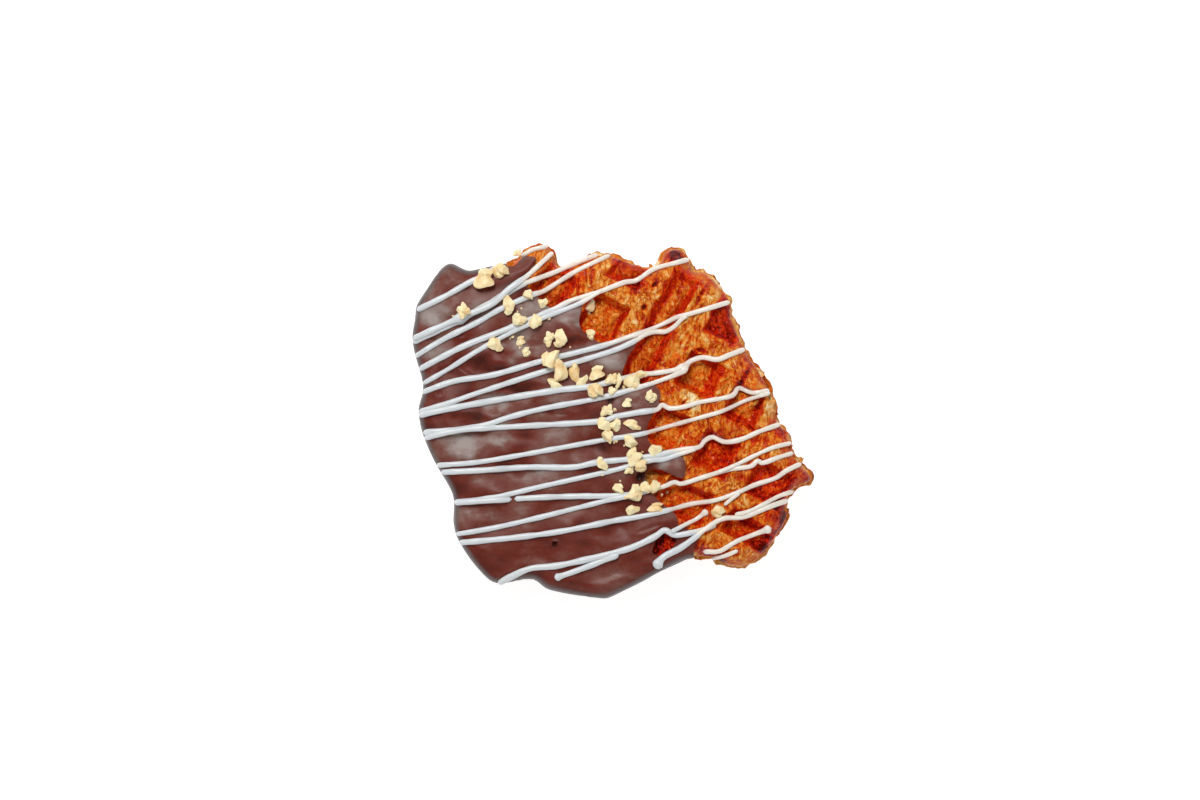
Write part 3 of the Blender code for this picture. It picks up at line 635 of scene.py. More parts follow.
    def wrinkles(self, s: Array, t: Array) -> Array:
        """Return the fine folds of the fried skin, which turn from place to place."""
        u = s + 2.6 * Unevenness(38).at(s, t, 12.0) + 0.9 * Unevenness(39).at(s, t, 4.5)
        v = t + 2.6 * Unevenness(46).at(s, t, 12.0) + 0.9 * Unevenness(47).at(s, t, 4.5)
        along = 1 - np.abs(Unevenness(35).at(u, v / 3.0, 1.7))
        across = 1 - np.abs(Unevenness(48).at(u / 3.0, v, 1.7))
        fold = along + (across - along) * eased(0.45 + 1.6 * Unevenness(49).at(s, t, 9.0))
        return 0.70 * (fold ** 3 - 0.40) + 0.06 * Unevenness(37).at(s, t, 0.9)

    def pastry_bottom(self, x: Array, y: Array) -> Array:
        """Return the height of the waffled underside, up to where its sides take over."""
        s, t = self.iron.to_grid(x, y)
        s = s + 0.35 * Unevenness(15).at(x, y, 6.0)
        t = t + 0.35 * Unevenness(16).at(x, y, 6.0)
        pressed = self.iron.pressed(*self.iron.from_middle(s, t))
        relief = 0.16 * np.abs(Unevenness(36).layered(x, y, 3.0, 2))
        height = self.iron.under_depth * pressed + relief
        rim = self.cap(self.pastry_side, self.outline.depth(x, y), upper=False)
        return -soft_min(-height, -rim, 0.9)

    def coat_height(self, x: Array, y: Array) -> Array:
        """Return the height of the chocolate, thin where it ends on the bare side."""
        s, t = self.iron.to_grid(x, y)
        s = s + 1.6 * Unevenness(41).at(x, y, 13.0)
        t = t + 1.6 * Unevenness(42).at(x, y, 13.0)
        turn = 2 * math.pi / self.iron.pitch
        ds, dt = self.iron.from_middle(s, t)
        dip = (1 + np.cos(turn * ds)) * (1 + np.cos(turn * dt)) / 4
        vary = 1.0 + 0.55 * Unevenness(45).at(x, y, 19.0)
        height = self.coat_top - self.coat_dimple * dip * vary + 0.25 * Unevenness(43).at(x, y, 12.0)
        height = height + 0.06 * Unevenness(44).at(x, y, 4.0)
        depth = self.outline.depth(x, y)
        height = height - 0.35 * np.exp(-((depth - 6.5) / 2.2) ** 2)
        height = height + sum(dent.height(x, y) for dent in DENTS)
        height = height + sum(swell.height(x, y) for swell in SWELLS)
        height = np.maximum(height, self.core_top + 1.0)
        inside = np.clip(self.dip_line.distance(x, y) / self.coat_edge, 0, 1)
        thin = 1 - np.sqrt(1 - (1 - inside) ** 2)
        film = self.ridge(x, y) + self.ridge_crown + self.coat_film
        height = height + (film - height) * thin
        rim = self.cap(self.coat_side, depth, upper=True)
        return soft_min(height, rim, 0.8)


def to_frame(points: Array) -> Array:
    """Turn plan millimetres with a height into metres in the shared frame."""
    return (np.asarray(points, float) - np.array([*MIDDLE, 0.0])) * MM


def new_object(name: str, data: bpy.types.ID) -> Object:
    """Make an object at the origin, and put it in the scene."""
    obj = bpy.data.objects.new(name, data)
    bpy.context.scene.collection.objects.link(obj)
    return obj


def mesh_object(name: str, points: Array, faces: Sequence[Sequence[int]],
                edges: Sequence[Sequence[int]] = ()) -> Object:
    """Make an object of points in plan millimetres.

    Args:
        name: The object's name.
        points: One point a row, in millimetres.
        faces: Corner numbers of each face, anticlockwise from outside.
        edges: Point numbers of loose edges.

    Returns:
        The object.
    """
    mesh = bpy.data.meshes.new(name)
    mesh.from_pydata(to_frame(points).tolist(), list(edges), [list(map(int, face)) for face in faces])
    mesh.update()
    return new_object(name, mesh)


def plan_points(obj: Object) -> Array:
    """Return an object's points in plan millimetres."""
    flat = np.empty(len(obj.data.vertices) * 3, np.float32)
    obj.data.vertices.foreach_get("co", flat)
    return flat.reshape(-1, 3).astype(float) / MM + np.array([*MIDDLE, 0.0])


def grid_faces(rows: int, columns: int, first: int = 0) -> Array:
    """Return quads over a grid of points stored row by row, facing along row cross column."""
    corner = (np.arange(rows - 1)[:, None] * columns + np.arange(columns - 1)).ravel() + first
    return np.stack([corner, corner + columns, corner + columns + 1, corner + 1], axis=1)


def grid_edge(rows: int, columns: int) -> Array:
    """Return the numbers of a grid's outer points, in order round it."""
    numbers = np.arange(rows * columns).reshape(rows, columns)
    return np.concatenate([numbers[:, 0], numbers[-1, 1:], numbers[-2::-1, -1], numbers[0, -2:0:-1]])


def skirt(edge: Array, below: Array) -> Array:
    """Return quads between a closed run of point numbers and the run below it."""
    return np.stack([edge, below, np.roll(below, -1), np.roll(edge, -1)], axis=1)


def closed_sheet(top: Array, bottom: Array) -> tuple[Array, list]:
    """Return the points and faces of a closed body between two grids of equally many points."""
    rows, columns, _ = top.shape
    edge = grid_edge(rows, columns)
    under = grid_faces(rows, columns, rows * columns)[:, ::-1]
    faces = np.concatenate([grid_faces(rows, columns), under, skirt(edge, edge + rows * columns)])
    return np.concatenate([top, bottom]).reshape(-1, 3), faces.tolist()


def slab(name: str, plan: tuple[Array, Array], top: Heights, bottom: Heights | float) -> Object:
    """Make a closed block over a grid of plan points.

    Args:
        name: The object's name.
        plan: The grid's x and y, as two arrays of rows and columns.
        top: Height of the top over plan points.
        bottom: Height of the underside, or one number for one flat face.

    Returns:
        The block.
    """
    upper = np.stack([*plan, top(*plan)], axis=-1)
    if callable(bottom):
        return mesh_object(name, *closed_sheet(upper, np.stack([*plan, bottom(*plan)], axis=-1)))
    rows, columns, _ = upper.shape
    upper = upper.reshape(-1, 3)
    edge = grid_edge(rows, columns)
    below = np.arange(len(edge)) + rows * columns
    faces = grid_faces(rows, columns).tolist() + [below[::-1].tolist()] + skirt(edge, below).tolist()
    return mesh_object(name, np.vstack([upper, upper[edge] * (1, 1, 0) + (0, 0, bottom)]), faces)


def loft(name: str, rings: Array) -> Object:
    """Make a closed body of rings of equally many points, stacked from low to high."""
    levels, around, _ = rings.shape
    numbers = np.arange(levels * around).reshape(levels, around)
    after = np.roll(numbers, -1, axis=1)
    quads = np.stack([numbers[:-1], after[:-1], after[1:], numbers[1:]], axis=-1).reshape(-1, 4)
    faces = quads.tolist() + [numbers[0, ::-1].tolist(), numbers[-1].tolist()]
    return mesh_object(name, rings.reshape(-1, 3), faces)


def prism(name: str, loop: Array, low: float = -BEYOND, high: float = BEYOND) -> Object:
    """Make an upright body on an anticlockwise loop."""
    rings = [np.column_stack([loop, np.full(len(loop), z)]) for z in (low, high)]
    return loft(name, np.stack(rings))


def apply_modifiers(obj: Object) -> None:
    """Turn what an object's modifiers give into its plain mesh."""
    bpy.context.view_layer.update()
    evaluated = obj.evaluated_get(bpy.context.evaluated_depsgraph_get())
    mesh = bpy.data.meshes.new_from_object(evaluated)
    obj.modifiers.clear()
    obj.data = mesh


def cut(target: Object, operation: str, tool: Object) -> None:
    """Cut or join a closed body with another, which is then removed.

    Args:
        target: The body that is changed.
        operation: INTERSECT, DIFFERENCE or UNION.
        tool: The body that does it.
    """
    modifier = target.modifiers.new("cut", "BOOLEAN")
    modifier.operation = operation
    modifier.solver = "MANIFOLD"
    modifier.object = tool
    apply_modifiers(target)
    bpy.data.objects.remove(tool)


def store(obj: Object, name: str, values: Array) -> None:
    """Keep one number for each point of an object's mesh, for its material to read."""
    attribute = obj.data.attributes.new(name, "FLOAT", "POINT")
    attribute.data.foreach_set("value", np.asarray(values, np.float32))


def dress(obj: Object, material: Material, sharp: float = 180.0) -> None:
    """Give an object one material, with smooth shading up to the given angle in degrees."""
    obj.data.materials.clear()
    obj.data.materials.append(material)
    obj.data.shade_smooth()
    if sharp < 180.0:
        obj.data.set_sharp_from_angle(angle=math.radians(sharp))


def linear(code: str) -> tuple[float, float, float, float]:
    """Turn an sRGB hex value such as #c08040 into linear colour."""
    parts = [int(code[k:k + 2], 16) / 255 for k in (1, 3, 5)]
    red, green, blue = (p / 12.92 if p <= 0.04045 else ((p + 0.055) / 1.055) ** 2.4 for p in parts)
    return red, green, blue, 1.0


def feed(tree: Tree, node: bpy.types.Node, inputs: dict) -> None:
    """Set a node's inputs, by name or number, each to a value or to the output of another node."""
    for key, value in inputs.items():
        if isinstance(value, bpy.types.NodeSocket):
            tree.links.new(value, node.inputs[key])
        else:
            node.inputs[key].default_value = value


def add(tree: Tree, kind: str, inputs: dict | None = None, output: int | str | None = 0,
        stops: Iterable[tuple[float, str]] = (), **settings: object) -> Socket | None:
    """Add a node to a tree.

    Args:
        tree: The tree that gets the node.
        kind: The node's type.
        inputs: A value or another node's output for each input, by name or number.
        output: The name or number of the output that comes back, or nothing for a node without any.
        stops: Places and sRGB hex values, for a ramp.
        settings: The node's own settings.

    Returns:
        The output socket.
    """
    node = tree.nodes.new(kind)
    for name, value in settings.items():
        setattr(node, name, value)
    feed(tree, node, inputs or {})
    for number, (place, code) in enumerate(stops):
        ramp = node.color_ramp.elements
        stop = ramp[number] if number < 2 else ramp.new(place)
        stop.position, stop.color = place, linear(code)
    return None if output is None else node.outputs[output]


def new_material(name: str) -> tuple[Material, Tree, bpy.types.Node]:
    """Make a material, and return it with its tree and its main shader."""
    material = bpy.data.materials.new(name)
    material.use_nodes = True
    tree = material.node_tree
    return material, tree, tree.nodes["Principled BSDF"]


@dataclass(frozen=True)
class BakedCrust:
    """Croissant crust pressed on hot iron: butter-fried layers under a thin shell of melted sugar."""

    dough: tuple[tuple[float, str], ...] = (
        (0.00, "#fbe6b6"), (0.15, "#f2c07a"), (0.30, "#e2943c"), (0.45, "#cf6d1a"), (0.60, "#b3440a"),
        (0.75, "#8e2607"), (0.90, "#621706"), (1.00, "#420f06"),
    )
    caramel: tuple[tuple[float, str], ...] = (
        (0.00, "#fccc7a"), (0.30, "#f49c3a"), (0.45, "#ee781a"), (0.56, "#ea580a"), (0.66, "#e33a05"),
        (0.78, "#ce1e04"), (0.90, "#960e03"), (1.00, "#560c04"),
    )
    blotch_mm: float = 2.8
    grain_mm: float = 0.75
    fibre_mm: float = 0.8
    fold_mm: float = 2.3
    pebble_mm: float = 1.3
    glaze_mm: float = 1.3
    crease_mm: float = 0.40
    layers_turn: float = math.radians(28)
    roughness: float = 0.30

    def material(self) -> Material:
        """Make the material. The mesh says how brown it is, with painted shade and highlights in its folds,
        and where sugar melted and where it shines.
        """
        # Orange brown folds with painted highlights on their crests and painted shade in their creases, and
        # cobbled red caramel with a wet shine in the pockets.
        material, tree, shader = new_material("baked croissant crust")
        place = add(tree, PLACE, output="Object")
        baked, candied, sheen = (add(tree, STORED, output="Fac", attribute_name=name)
                                 for name in ("browning", "candied", "glaze"))
        blotches = add(tree, NOISE, {"Vector": place, "Scale": 1 / (self.blotch_mm * MM), "Detail": 3.0})
        grains = add(tree, NOISE, {"Vector": place, "Scale": 1 / (self.grain_mm * MM), "Detail": 2.0})
        turned = add(tree, MAPPING, {"Vector": place, "Rotation": (0, 0, self.layers_turn),
                                     "Scale": (1, 0.40, 1)})
        fibres = add(tree, NOISE, {"Vector": turned, "Scale": 1 / (self.fibre_mm * MM), "Detail": 1.0,
                                   "Distortion": 0.8})
        wander = add(tree, VECTOR, {0: blotches.node.outputs["Color"], 1: (0.5, 0.5, 0.5)},
                     operation="SUBTRACT")
        moved = add(tree, VECTOR, {0: wander, 1: (1.6 * MM,) * 3, 2: place}, operation="MULTIPLY_ADD")
        pebbles = add(tree, "ShaderNodeTexVoronoi", {"Vector": moved, "Scale": 1 / (self.pebble_mm * MM)},
                      feature="DISTANCE_TO_EDGE")
        joints = add(tree, RANGE, {0: pebbles, 1: 0.0, 2: 0.16, 3: 0.14, 4: -0.03}, **SMOOTH)
        joints = add(tree, MATH, {0: joints, 1: candied}, operation="MULTIPLY")
        shift = add(tree, MATH, {0: blotches, 1: 0.16, 2: -0.08}, operation="MULTIPLY_ADD")
        for pattern, strength in ((grains, 0.32), (fibres, 0.38)):
            part = add(tree, MATH, {0: pattern, 1: strength, 2: -strength / 2}, operation="MULTIPLY_ADD")
            shift = add(tree, MATH, {0: shift, 1: part})
        shift = add(tree, MATH, {0: shift, 1: joints})
        folds = add(tree, NOISE, {"Vector": turned, "Scale": 1 / (self.fold_mm * MM), "Detail": 1.2,
                                  "Distortion": 1.1})
        middle = add(tree, MATH, {0: folds, 1: 0.5}, operation="SUBTRACT")
        away = add(tree, MATH, {0: middle}, operation="ABSOLUTE")
        # Painted shade in the creases of the folds and painted highlights on their crests, which the glaze
        # fades at the rim and underneath.
        crease = add(tree, RANGE, {0: away, 1: 0.0, 2: 0.030, 3: 0.16, 4: 0.0}, **SMOOTH)
        crest = add(tree, RANGE, {0: away, 1: 0.07, 2: 0.11, 3: 0.0, 4: 0.16}, **SMOOTH)
        lines = add(tree, MATH, {0: crease, 1: crest}, operation="SUBTRACT")
        shift = add(tree, MATH, {0: lines, 1: sheen, 2: shift}, operation="MULTIPLY_ADD")
        calm = add(tree, MATH, {0: candied, 1: -0.35, 2: 1.0}, operation="MULTIPLY_ADD")
        shift = add(tree, MATH, {0: shift, 1: calm}, operation="MULTIPLY")
        total = add(tree, MATH, {0: baked, 1: shift}, use_clamp=True)
        plain, sweet = (add(tree, RAMP, {0: total}, stops=stops) for stops in (self.dough, self.caramel))
        colour = add(tree, MIX, {0: candied, 6: plain, 7: sweet}, output=2, data_type="RGBA")
        height = add(tree, MATH, {0: grains, 1: 0.5, 2: fibres}, operation="MULTIPLY_ADD")
        for groove in (crease, joints):
            height = add(tree, MATH, {0: groove, 1: -2.4, 2: height}, operation="MULTIPLY_ADD")
        bump = add(tree, BUMP, {"Height": height, "Strength": 1.0, "Distance": self.crease_mm * MM})
        sugar = add(tree, NOISE, {"Vector": place, "Scale": 1 / (self.glaze_mm * MM), "Detail": 2.0})
        glazed = add(tree, RANGE, {0: sugar, 1: 0.53, 2: 0.63, 3: 0.0, 4: 0.8}, **SMOOTH)
        shell = add(tree, MATH, {0: glazed, 1: sheen}, operation="MULTIPLY")
        feed(tree, shader, {
            "Base Color": colour, "Normal": bump, "Coat Normal": bump, "Coat Weight": shell,
            "Coat Roughness": 0.12, "Roughness": self.roughness, "IOR": 1.47, "Specular IOR Level": 0.08,
        })
        return material


@dataclass(frozen=True)
class SetChocolate:
    """Chocolate that set in air: a smooth skin with a soft sheen, and grey sheen patches painted into its
    colour.
    """

    # The ramp runs from unlit dark brown to the grey of a painted sheen.
    bloom: tuple[tuple[float, str], ...] = (
        (0.0, "#451a11"), (0.33, "#6c2b1f"), (0.6, "#784a40"), (1.0, "#998a84"),
    )
    deep: str = "#26100c"
    mottle_mm: float = 4.5
    pit_mm: float = 1.1
    drawn_turn: float = math.radians(-16)
    roughness: float = 0.40

    def material(self) -> Material:
        """Make the material. The mesh says where sheen is painted, and where shade is painted in holes, gaps
        and along the rim.
        """
        # Warm reddish brown, painted grey where a sheen would show and painted dark where shade falls, and
        # soft in its shine.
        material, tree, shader = new_material("set dark chocolate")
        place = add(tree, PLACE, output="Object")
        painted_sheen, dark = (add(tree, STORED, output="Fac", attribute_name=name) for name in ("bloom", "gap"))
        drawn = add(tree, MAPPING, {"Vector": place, "Rotation": (0, 0, self.drawn_turn),
                                    "Scale": (0.45, 1, 1)})
        # Mottle moves the colour at random along the ramp, from dark brown towards the painted grey sheen.
        mottle = add(tree, NOISE, {"Vector": drawn, "Scale": 1 / (self.mottle_mm * MM), "Detail": 5.0,
                                   "Roughness": 0.55})
        mottled = add(tree, MATH, {0: mottle, 1: 0.9, 2: -0.45}, operation="MULTIPLY_ADD")
        # The same fine noise also speckles the colour: a painted speckled sheen.
        pits = add(tree, NOISE, {"Vector": place, "Scale": 1 / (self.pit_mm * MM), "Detail": 4.0})
        sheen_speckle = add(tree, MATH, {0: pits, 1: 0.26, 2: -0.13}, operation="MULTIPLY_ADD")
        total = add(tree, MATH, {0: mottled, 1: painted_sheen})
        total = add(tree, MATH, {0: total, 1: sheen_speckle}, use_clamp=True)
        ramp = add(tree, RAMP, {0: total}, stops=self.bloom)
        # Painted shade darkens the colour towards deep in holes, gaps and along the rim.
        colour = add(tree, MIX, {0: dark, 6: ramp, 7: linear(self.deep)}, output=2, data_type="RGBA")
        bump = add(tree, BUMP, {"Height": pits, "Strength": 0.16, "Distance": 0.12 * MM})
        feed(tree, shader, {
            "Base Color": colour, "Normal": bump, "Roughness": self.roughness, "IOR": 1.46,
            "Specular IOR Level": 0.22,
        })
        return material


@dataclass(frozen=True)
class WhiteChocolate:
    """White chocolate piped thin: it looks cool on dark ground and warm where crust lies beneath."""

    cool: str = "#d8dcde"
    warm: str = "#f0e8dc"
    roughness: float = 0.30

    def material(self) -> Material:
        """Make the material. The mesh says how much crust lies beneath."""
        # Milky white with a soft shine, a little see-through.
        material, tree, shader = new_material("white chocolate")
        warmth = add(tree, STORED, output="Fac", attribute_name="warmth")
        feed(tree, shader, {
            "Base Color": add(tree, RAMP, {0: warmth}, stops=((0.0, self.cool), (1.0, self.warm))),
            "Roughness": self.roughness, "IOR": 1.46, "Subsurface Weight": 0.2,
            "Subsurface Radius": (1.0, 0.9, 0.75), "Subsurface Scale": 0.6 * MM,
        })
        return material


@dataclass(frozen=True)
class NutMeat:
    """Chopped blanched nut: dry waxy breaks, cream inside and toasted golden in places."""

    inside: str = "#fff0c2"
    toasted: str = "#ecb566"
    patch_mm: float = 2.2
    grit_mm: float = 0.5
    roughness: float = 0.55

    def material(self) -> Material:
        """Make the material. Each chunk says how far it is toasted."""
        # Pale cream, golden in patches, and dull like wax.
        material, tree, shader = new_material("chopped nut")
        place = add(tree, PLACE, output="Object")
        toast = add(tree, STORED, output="Fac", attribute_name="toast")
        patches = add(tree, NOISE, {"Vector": place, "Scale": 1 / (self.patch_mm * MM), "Detail": 3.0})
        total = add(tree, MATH, {0: patches, 1: 0.9, 2: toast}, operation="MULTIPLY_ADD")
        grit = add(tree, NOISE, {"Vector": place, "Scale": 1 / (self.grit_mm * MM), "Detail": 2.0})
        feed(tree, shader, {
            "Base Color": add(tree, RAMP, {0: total}, stops=((0.42, self.inside), (0.95, self.toasted))),
            "Normal": add(tree, BUMP, {"Height": grit, "Strength": 0.3, "Distance": 0.1 * MM}),
            "Roughness": self.roughness, "Subsurface Weight": 0.15,
            "Subsurface Radius": (1.0, 0.8, 0.5), "Subsurface Scale": 0.6 * MM,
        })
        return material


@dataclass(frozen=True)
class TableTop:
    """Matt white laminate table, lit from within like a light table so that shadows stay faint."""

    colour: str = "#a8a8a8"
    glow: float = 0.88
    roughness: float = 0.9

    def material(self) -> Material:
        """Make the material."""
        # Plain white without a shine.
        material, tree, shader = new_material("matt white laminate")
        feed(tree, shader, {
            "Base Color": linear(self.colour), "Roughness": self.roughness,
            "Emission Color": linear("#ffffff"), "Emission Strength": self.glow,
        })
        return material


@dataclass
class Pastry:
    """The pressed and baked dough."""

    form: Form
    finish: BakedCrust = field(default_factory=BakedCrust)
    top_cell: float = 0.35
    top_s: tuple[float, float] = (-48.0, 66.0)
    top_t: tuple[float, float] = (-33.0, 58.0)
    under_cell: float = 0.95
    under_span: tuple[float, float] = (-80.3, 80.4)
    levels: Points = ((-1.0, 17.2, 46), (17.6, 22.4, 6))
    side_even: int = 4
    leaf_height: float = 1.2
    ledge: float = 0.5
    seam_low: float = 9.0
    seam_high: float = 12.5
    coat_wall: float = 1.9
    ridge_baked: float = 0.48

    def leaf(self, x: Array, y: Array, z: Array) -> Array:
        """Return which of the side's baked leaves points belong to, counted from the floor up."""
        lie = 0.5 * Unevenness(51).at(x + 0.6 * z, y - 0.5 * z, 14.0)
        return z / self.leaf_height + lie + 0.5 * Unevenness(56).at(x, y, 30.0)

    def side(self) -> Array:
        """Return rings of the layered side, whose baked leaves end at different places."""
        outline = self.form.outline
        heights, insets = np.array(self.form.pastry_side).T
        x, y = outline.points.T
        under = self.form.under_coat(x, y)
        bare = 1 - eased((under + 0.8) / 1.0)
        whole = eased((-under - 1.6) / 3.0)
        normal = outline.outward(self.side_even)
        rings = []
        for z in spaced(self.levels):
            height = np.full_like(x, z)
            leaf = self.leaf(x, y, height)
            ledge = self.ledge * (0.5 - (leaf - np.floor(leaf)))
            torn = np.maximum(0, Unevenness(52).at(x + 3.1 * np.floor(leaf), y, 5.0) - 0.2)
            swell = 0.35 * Unevenness(53).at(x + 1.3 * z, y - z, 9.0)
            rough = 0.14 * Unevenness(54).at(x + 1.7 * z, y + 1.1 * z, 1.6)
            ragged = (0.50 * Unevenness(57).at(x, y, 3.4) + 0.45 * Unevenness(58).at(x, y, 1.7)) * whole
            relief = (ledge - 0.2 + torn * whole - swell + rough) * bare
            relief = relief * (1 - eased((z - 14.5) / 3.0)) - 0.45 * eased((z - 15.5) / 2.5) + ragged
            inset = np.interp(z, heights, insets) + relief + self.coat_wall * eased((under + 0.6) / 1.8)
            rings.append(np.column_stack([outline.points - normal * inset[:, None], height]))
        return np.stack(rings)

    def build(self) -> Object:
        """Build the pastry and return it."""
        form, iron = self.form, self.form.iron
        fine_s, fine_t = (np.arange(*span, self.top_cell) for span in (self.top_s, self.top_t))
        crust = slab("croissant_crust", iron.from_grid(*np.meshgrid(fine_s, fine_t, indexing="ij")),
                     form.pastry_top, self.seam_low)
        cut(crust, "DIFFERENCE", prism("hidden", form.hidden.points))
        coarse = np.arange(*self.under_span, self.under_cell)
        under = slab("underside", iron.from_grid(*np.meshgrid(coarse, coarse, indexing="ij")),
                     self.inner_top, form.pastry_bottom)
        cut(crust, "UNION", under)
        cut(crust, "INTERSECT", loft("side", self.side()))
        points = plan_points(crust)
        store(crust, "browning", self.browning(points))
        store(crust, "candied", self.candied(points))
        upper = 0.3 + 0.7 * eased((points[:, 2] - 6.0) / 3.0)
        store(crust, "glaze", upper * eased((form.outline.depth(points[:, 0], points[:, 1]) - 1.0) / 3.0))
        dress(crust, self.finish.material())
        return crust

    def inner_top(self, x: Array, y: Array) -> Array:
        """Return the height of the plain dough inside, which reaches up only under the chocolate."""
        deep = eased((self.form.under_coat(x, y) - 1.0) / 2.0)
        return self.seam_high + (self.form.core_top - self.seam_high) * deep

    def candied(self, points: Array) -> Array:
        """Return how far melted sugar colours the crust, most of all in the pockets."""
        x, y, z = points.T
        s, t = self.form.uneven_grid(x, y)
        held, sweet = np.zeros_like(x), np.zeros_like(x)
        for pocket in POCKETS:
            own = pocket.press(s, t)[1]
            held, sweet = np.maximum(held, own), np.maximum(sweet, own * pocket.candied(s, t))
        grid_s, grid_t = self.form.iron.to_grid(x, y)
        pale = sum(-2.5 * mark.baked * mark.weight(grid_s, grid_t) for mark in MARKS if mark.baked < 0)
        run = np.clip(0.55 + 0.5 * Unevenness(64).layered(x, y, 8.0, 3), 0, 1)
        share = (sweet + run * (1 - held)) * (1 - np.clip(pale, 0, 0.8))
        on_side = eased((17.0 - z) / 3.0) * (1 - held)
        rim = eased((3.0 - self.form.outline.depth(x, y)) / 2.0) * (1 - held)
        return share * (1 - np.maximum(0.7 * on_side, 0.3 * rim))

    def browning(self, points: Array) -> Array:
        """Return how dark the crust is baked, from 0 for pale leaves to 1 for burnt sugar, with painted shade
        in the folds and painted highlights on their crests.
        """
        x, y, z = points.T
        s, t = self.form.uneven_grid(x, y)
        baked = self.ridge_baked + 0.06 * eased((8.0 - y) / 16.0)
        baked = baked + 0.16 * Unevenness(61).layered(x, y, 10.0, 3)
        held = np.zeros_like(x)
        for pocket in POCKETS:
            _, share = pocket.press(s, t)
            held = np.maximum(held, share)
            baked = baked + (pocket.browning(s, t) - baked) * share
        grid_s, grid_t = self.form.iron.to_grid(x, y)
        # Paler on the crests of the folds and darker in their hollows: painted highlight and painted shade.
        baked = baked - (0.36 - 0.14 * held) * self.form.wrinkles(grid_s, grid_t)
        rim = eased((2.4 - self.form.outline.depth(x, y)) / 1.8)
        baked = baked + rim * (0.08 + 0.24 * Unevenness(65).layered(x, y, 6.0, 2))
        for mark in MARKS:
            baked = baked + mark.baked * mark.weight(grid_s, grid_t)
        leaf = self.leaf(x, y, z)
        on_side = eased((16.0 - z) / 2.5) * eased((2.6 - self.form.outline.depth(x, y)) / 1.2)
        edge = 0.34 + 0.34 * (np.cos(2 * math.pi * leaf) * 0.5)
        edge = edge + 0.2 * Unevenness(62).layered(x + z, y - z, 8.0, 3)
        baked = baked + (edge - baked) * on_side
        below = eased((6.5 - z) / 2.0) * eased((self.form.outline.depth(x, y) - 2.0) / 1.5)
        pressed = self.form.iron.pressed(*self.form.iron.from_middle(grid_s, grid_t))
        under = 0.36 + 0.22 * pressed + 0.8 * pressed * (1 - pressed)
        under = under + 0.2 * Unevenness(63).layered(x, y, 9.0, 3)
        baked = baked + (under - baked) * below
        return np.clip(baked, 0.02, 0.98)


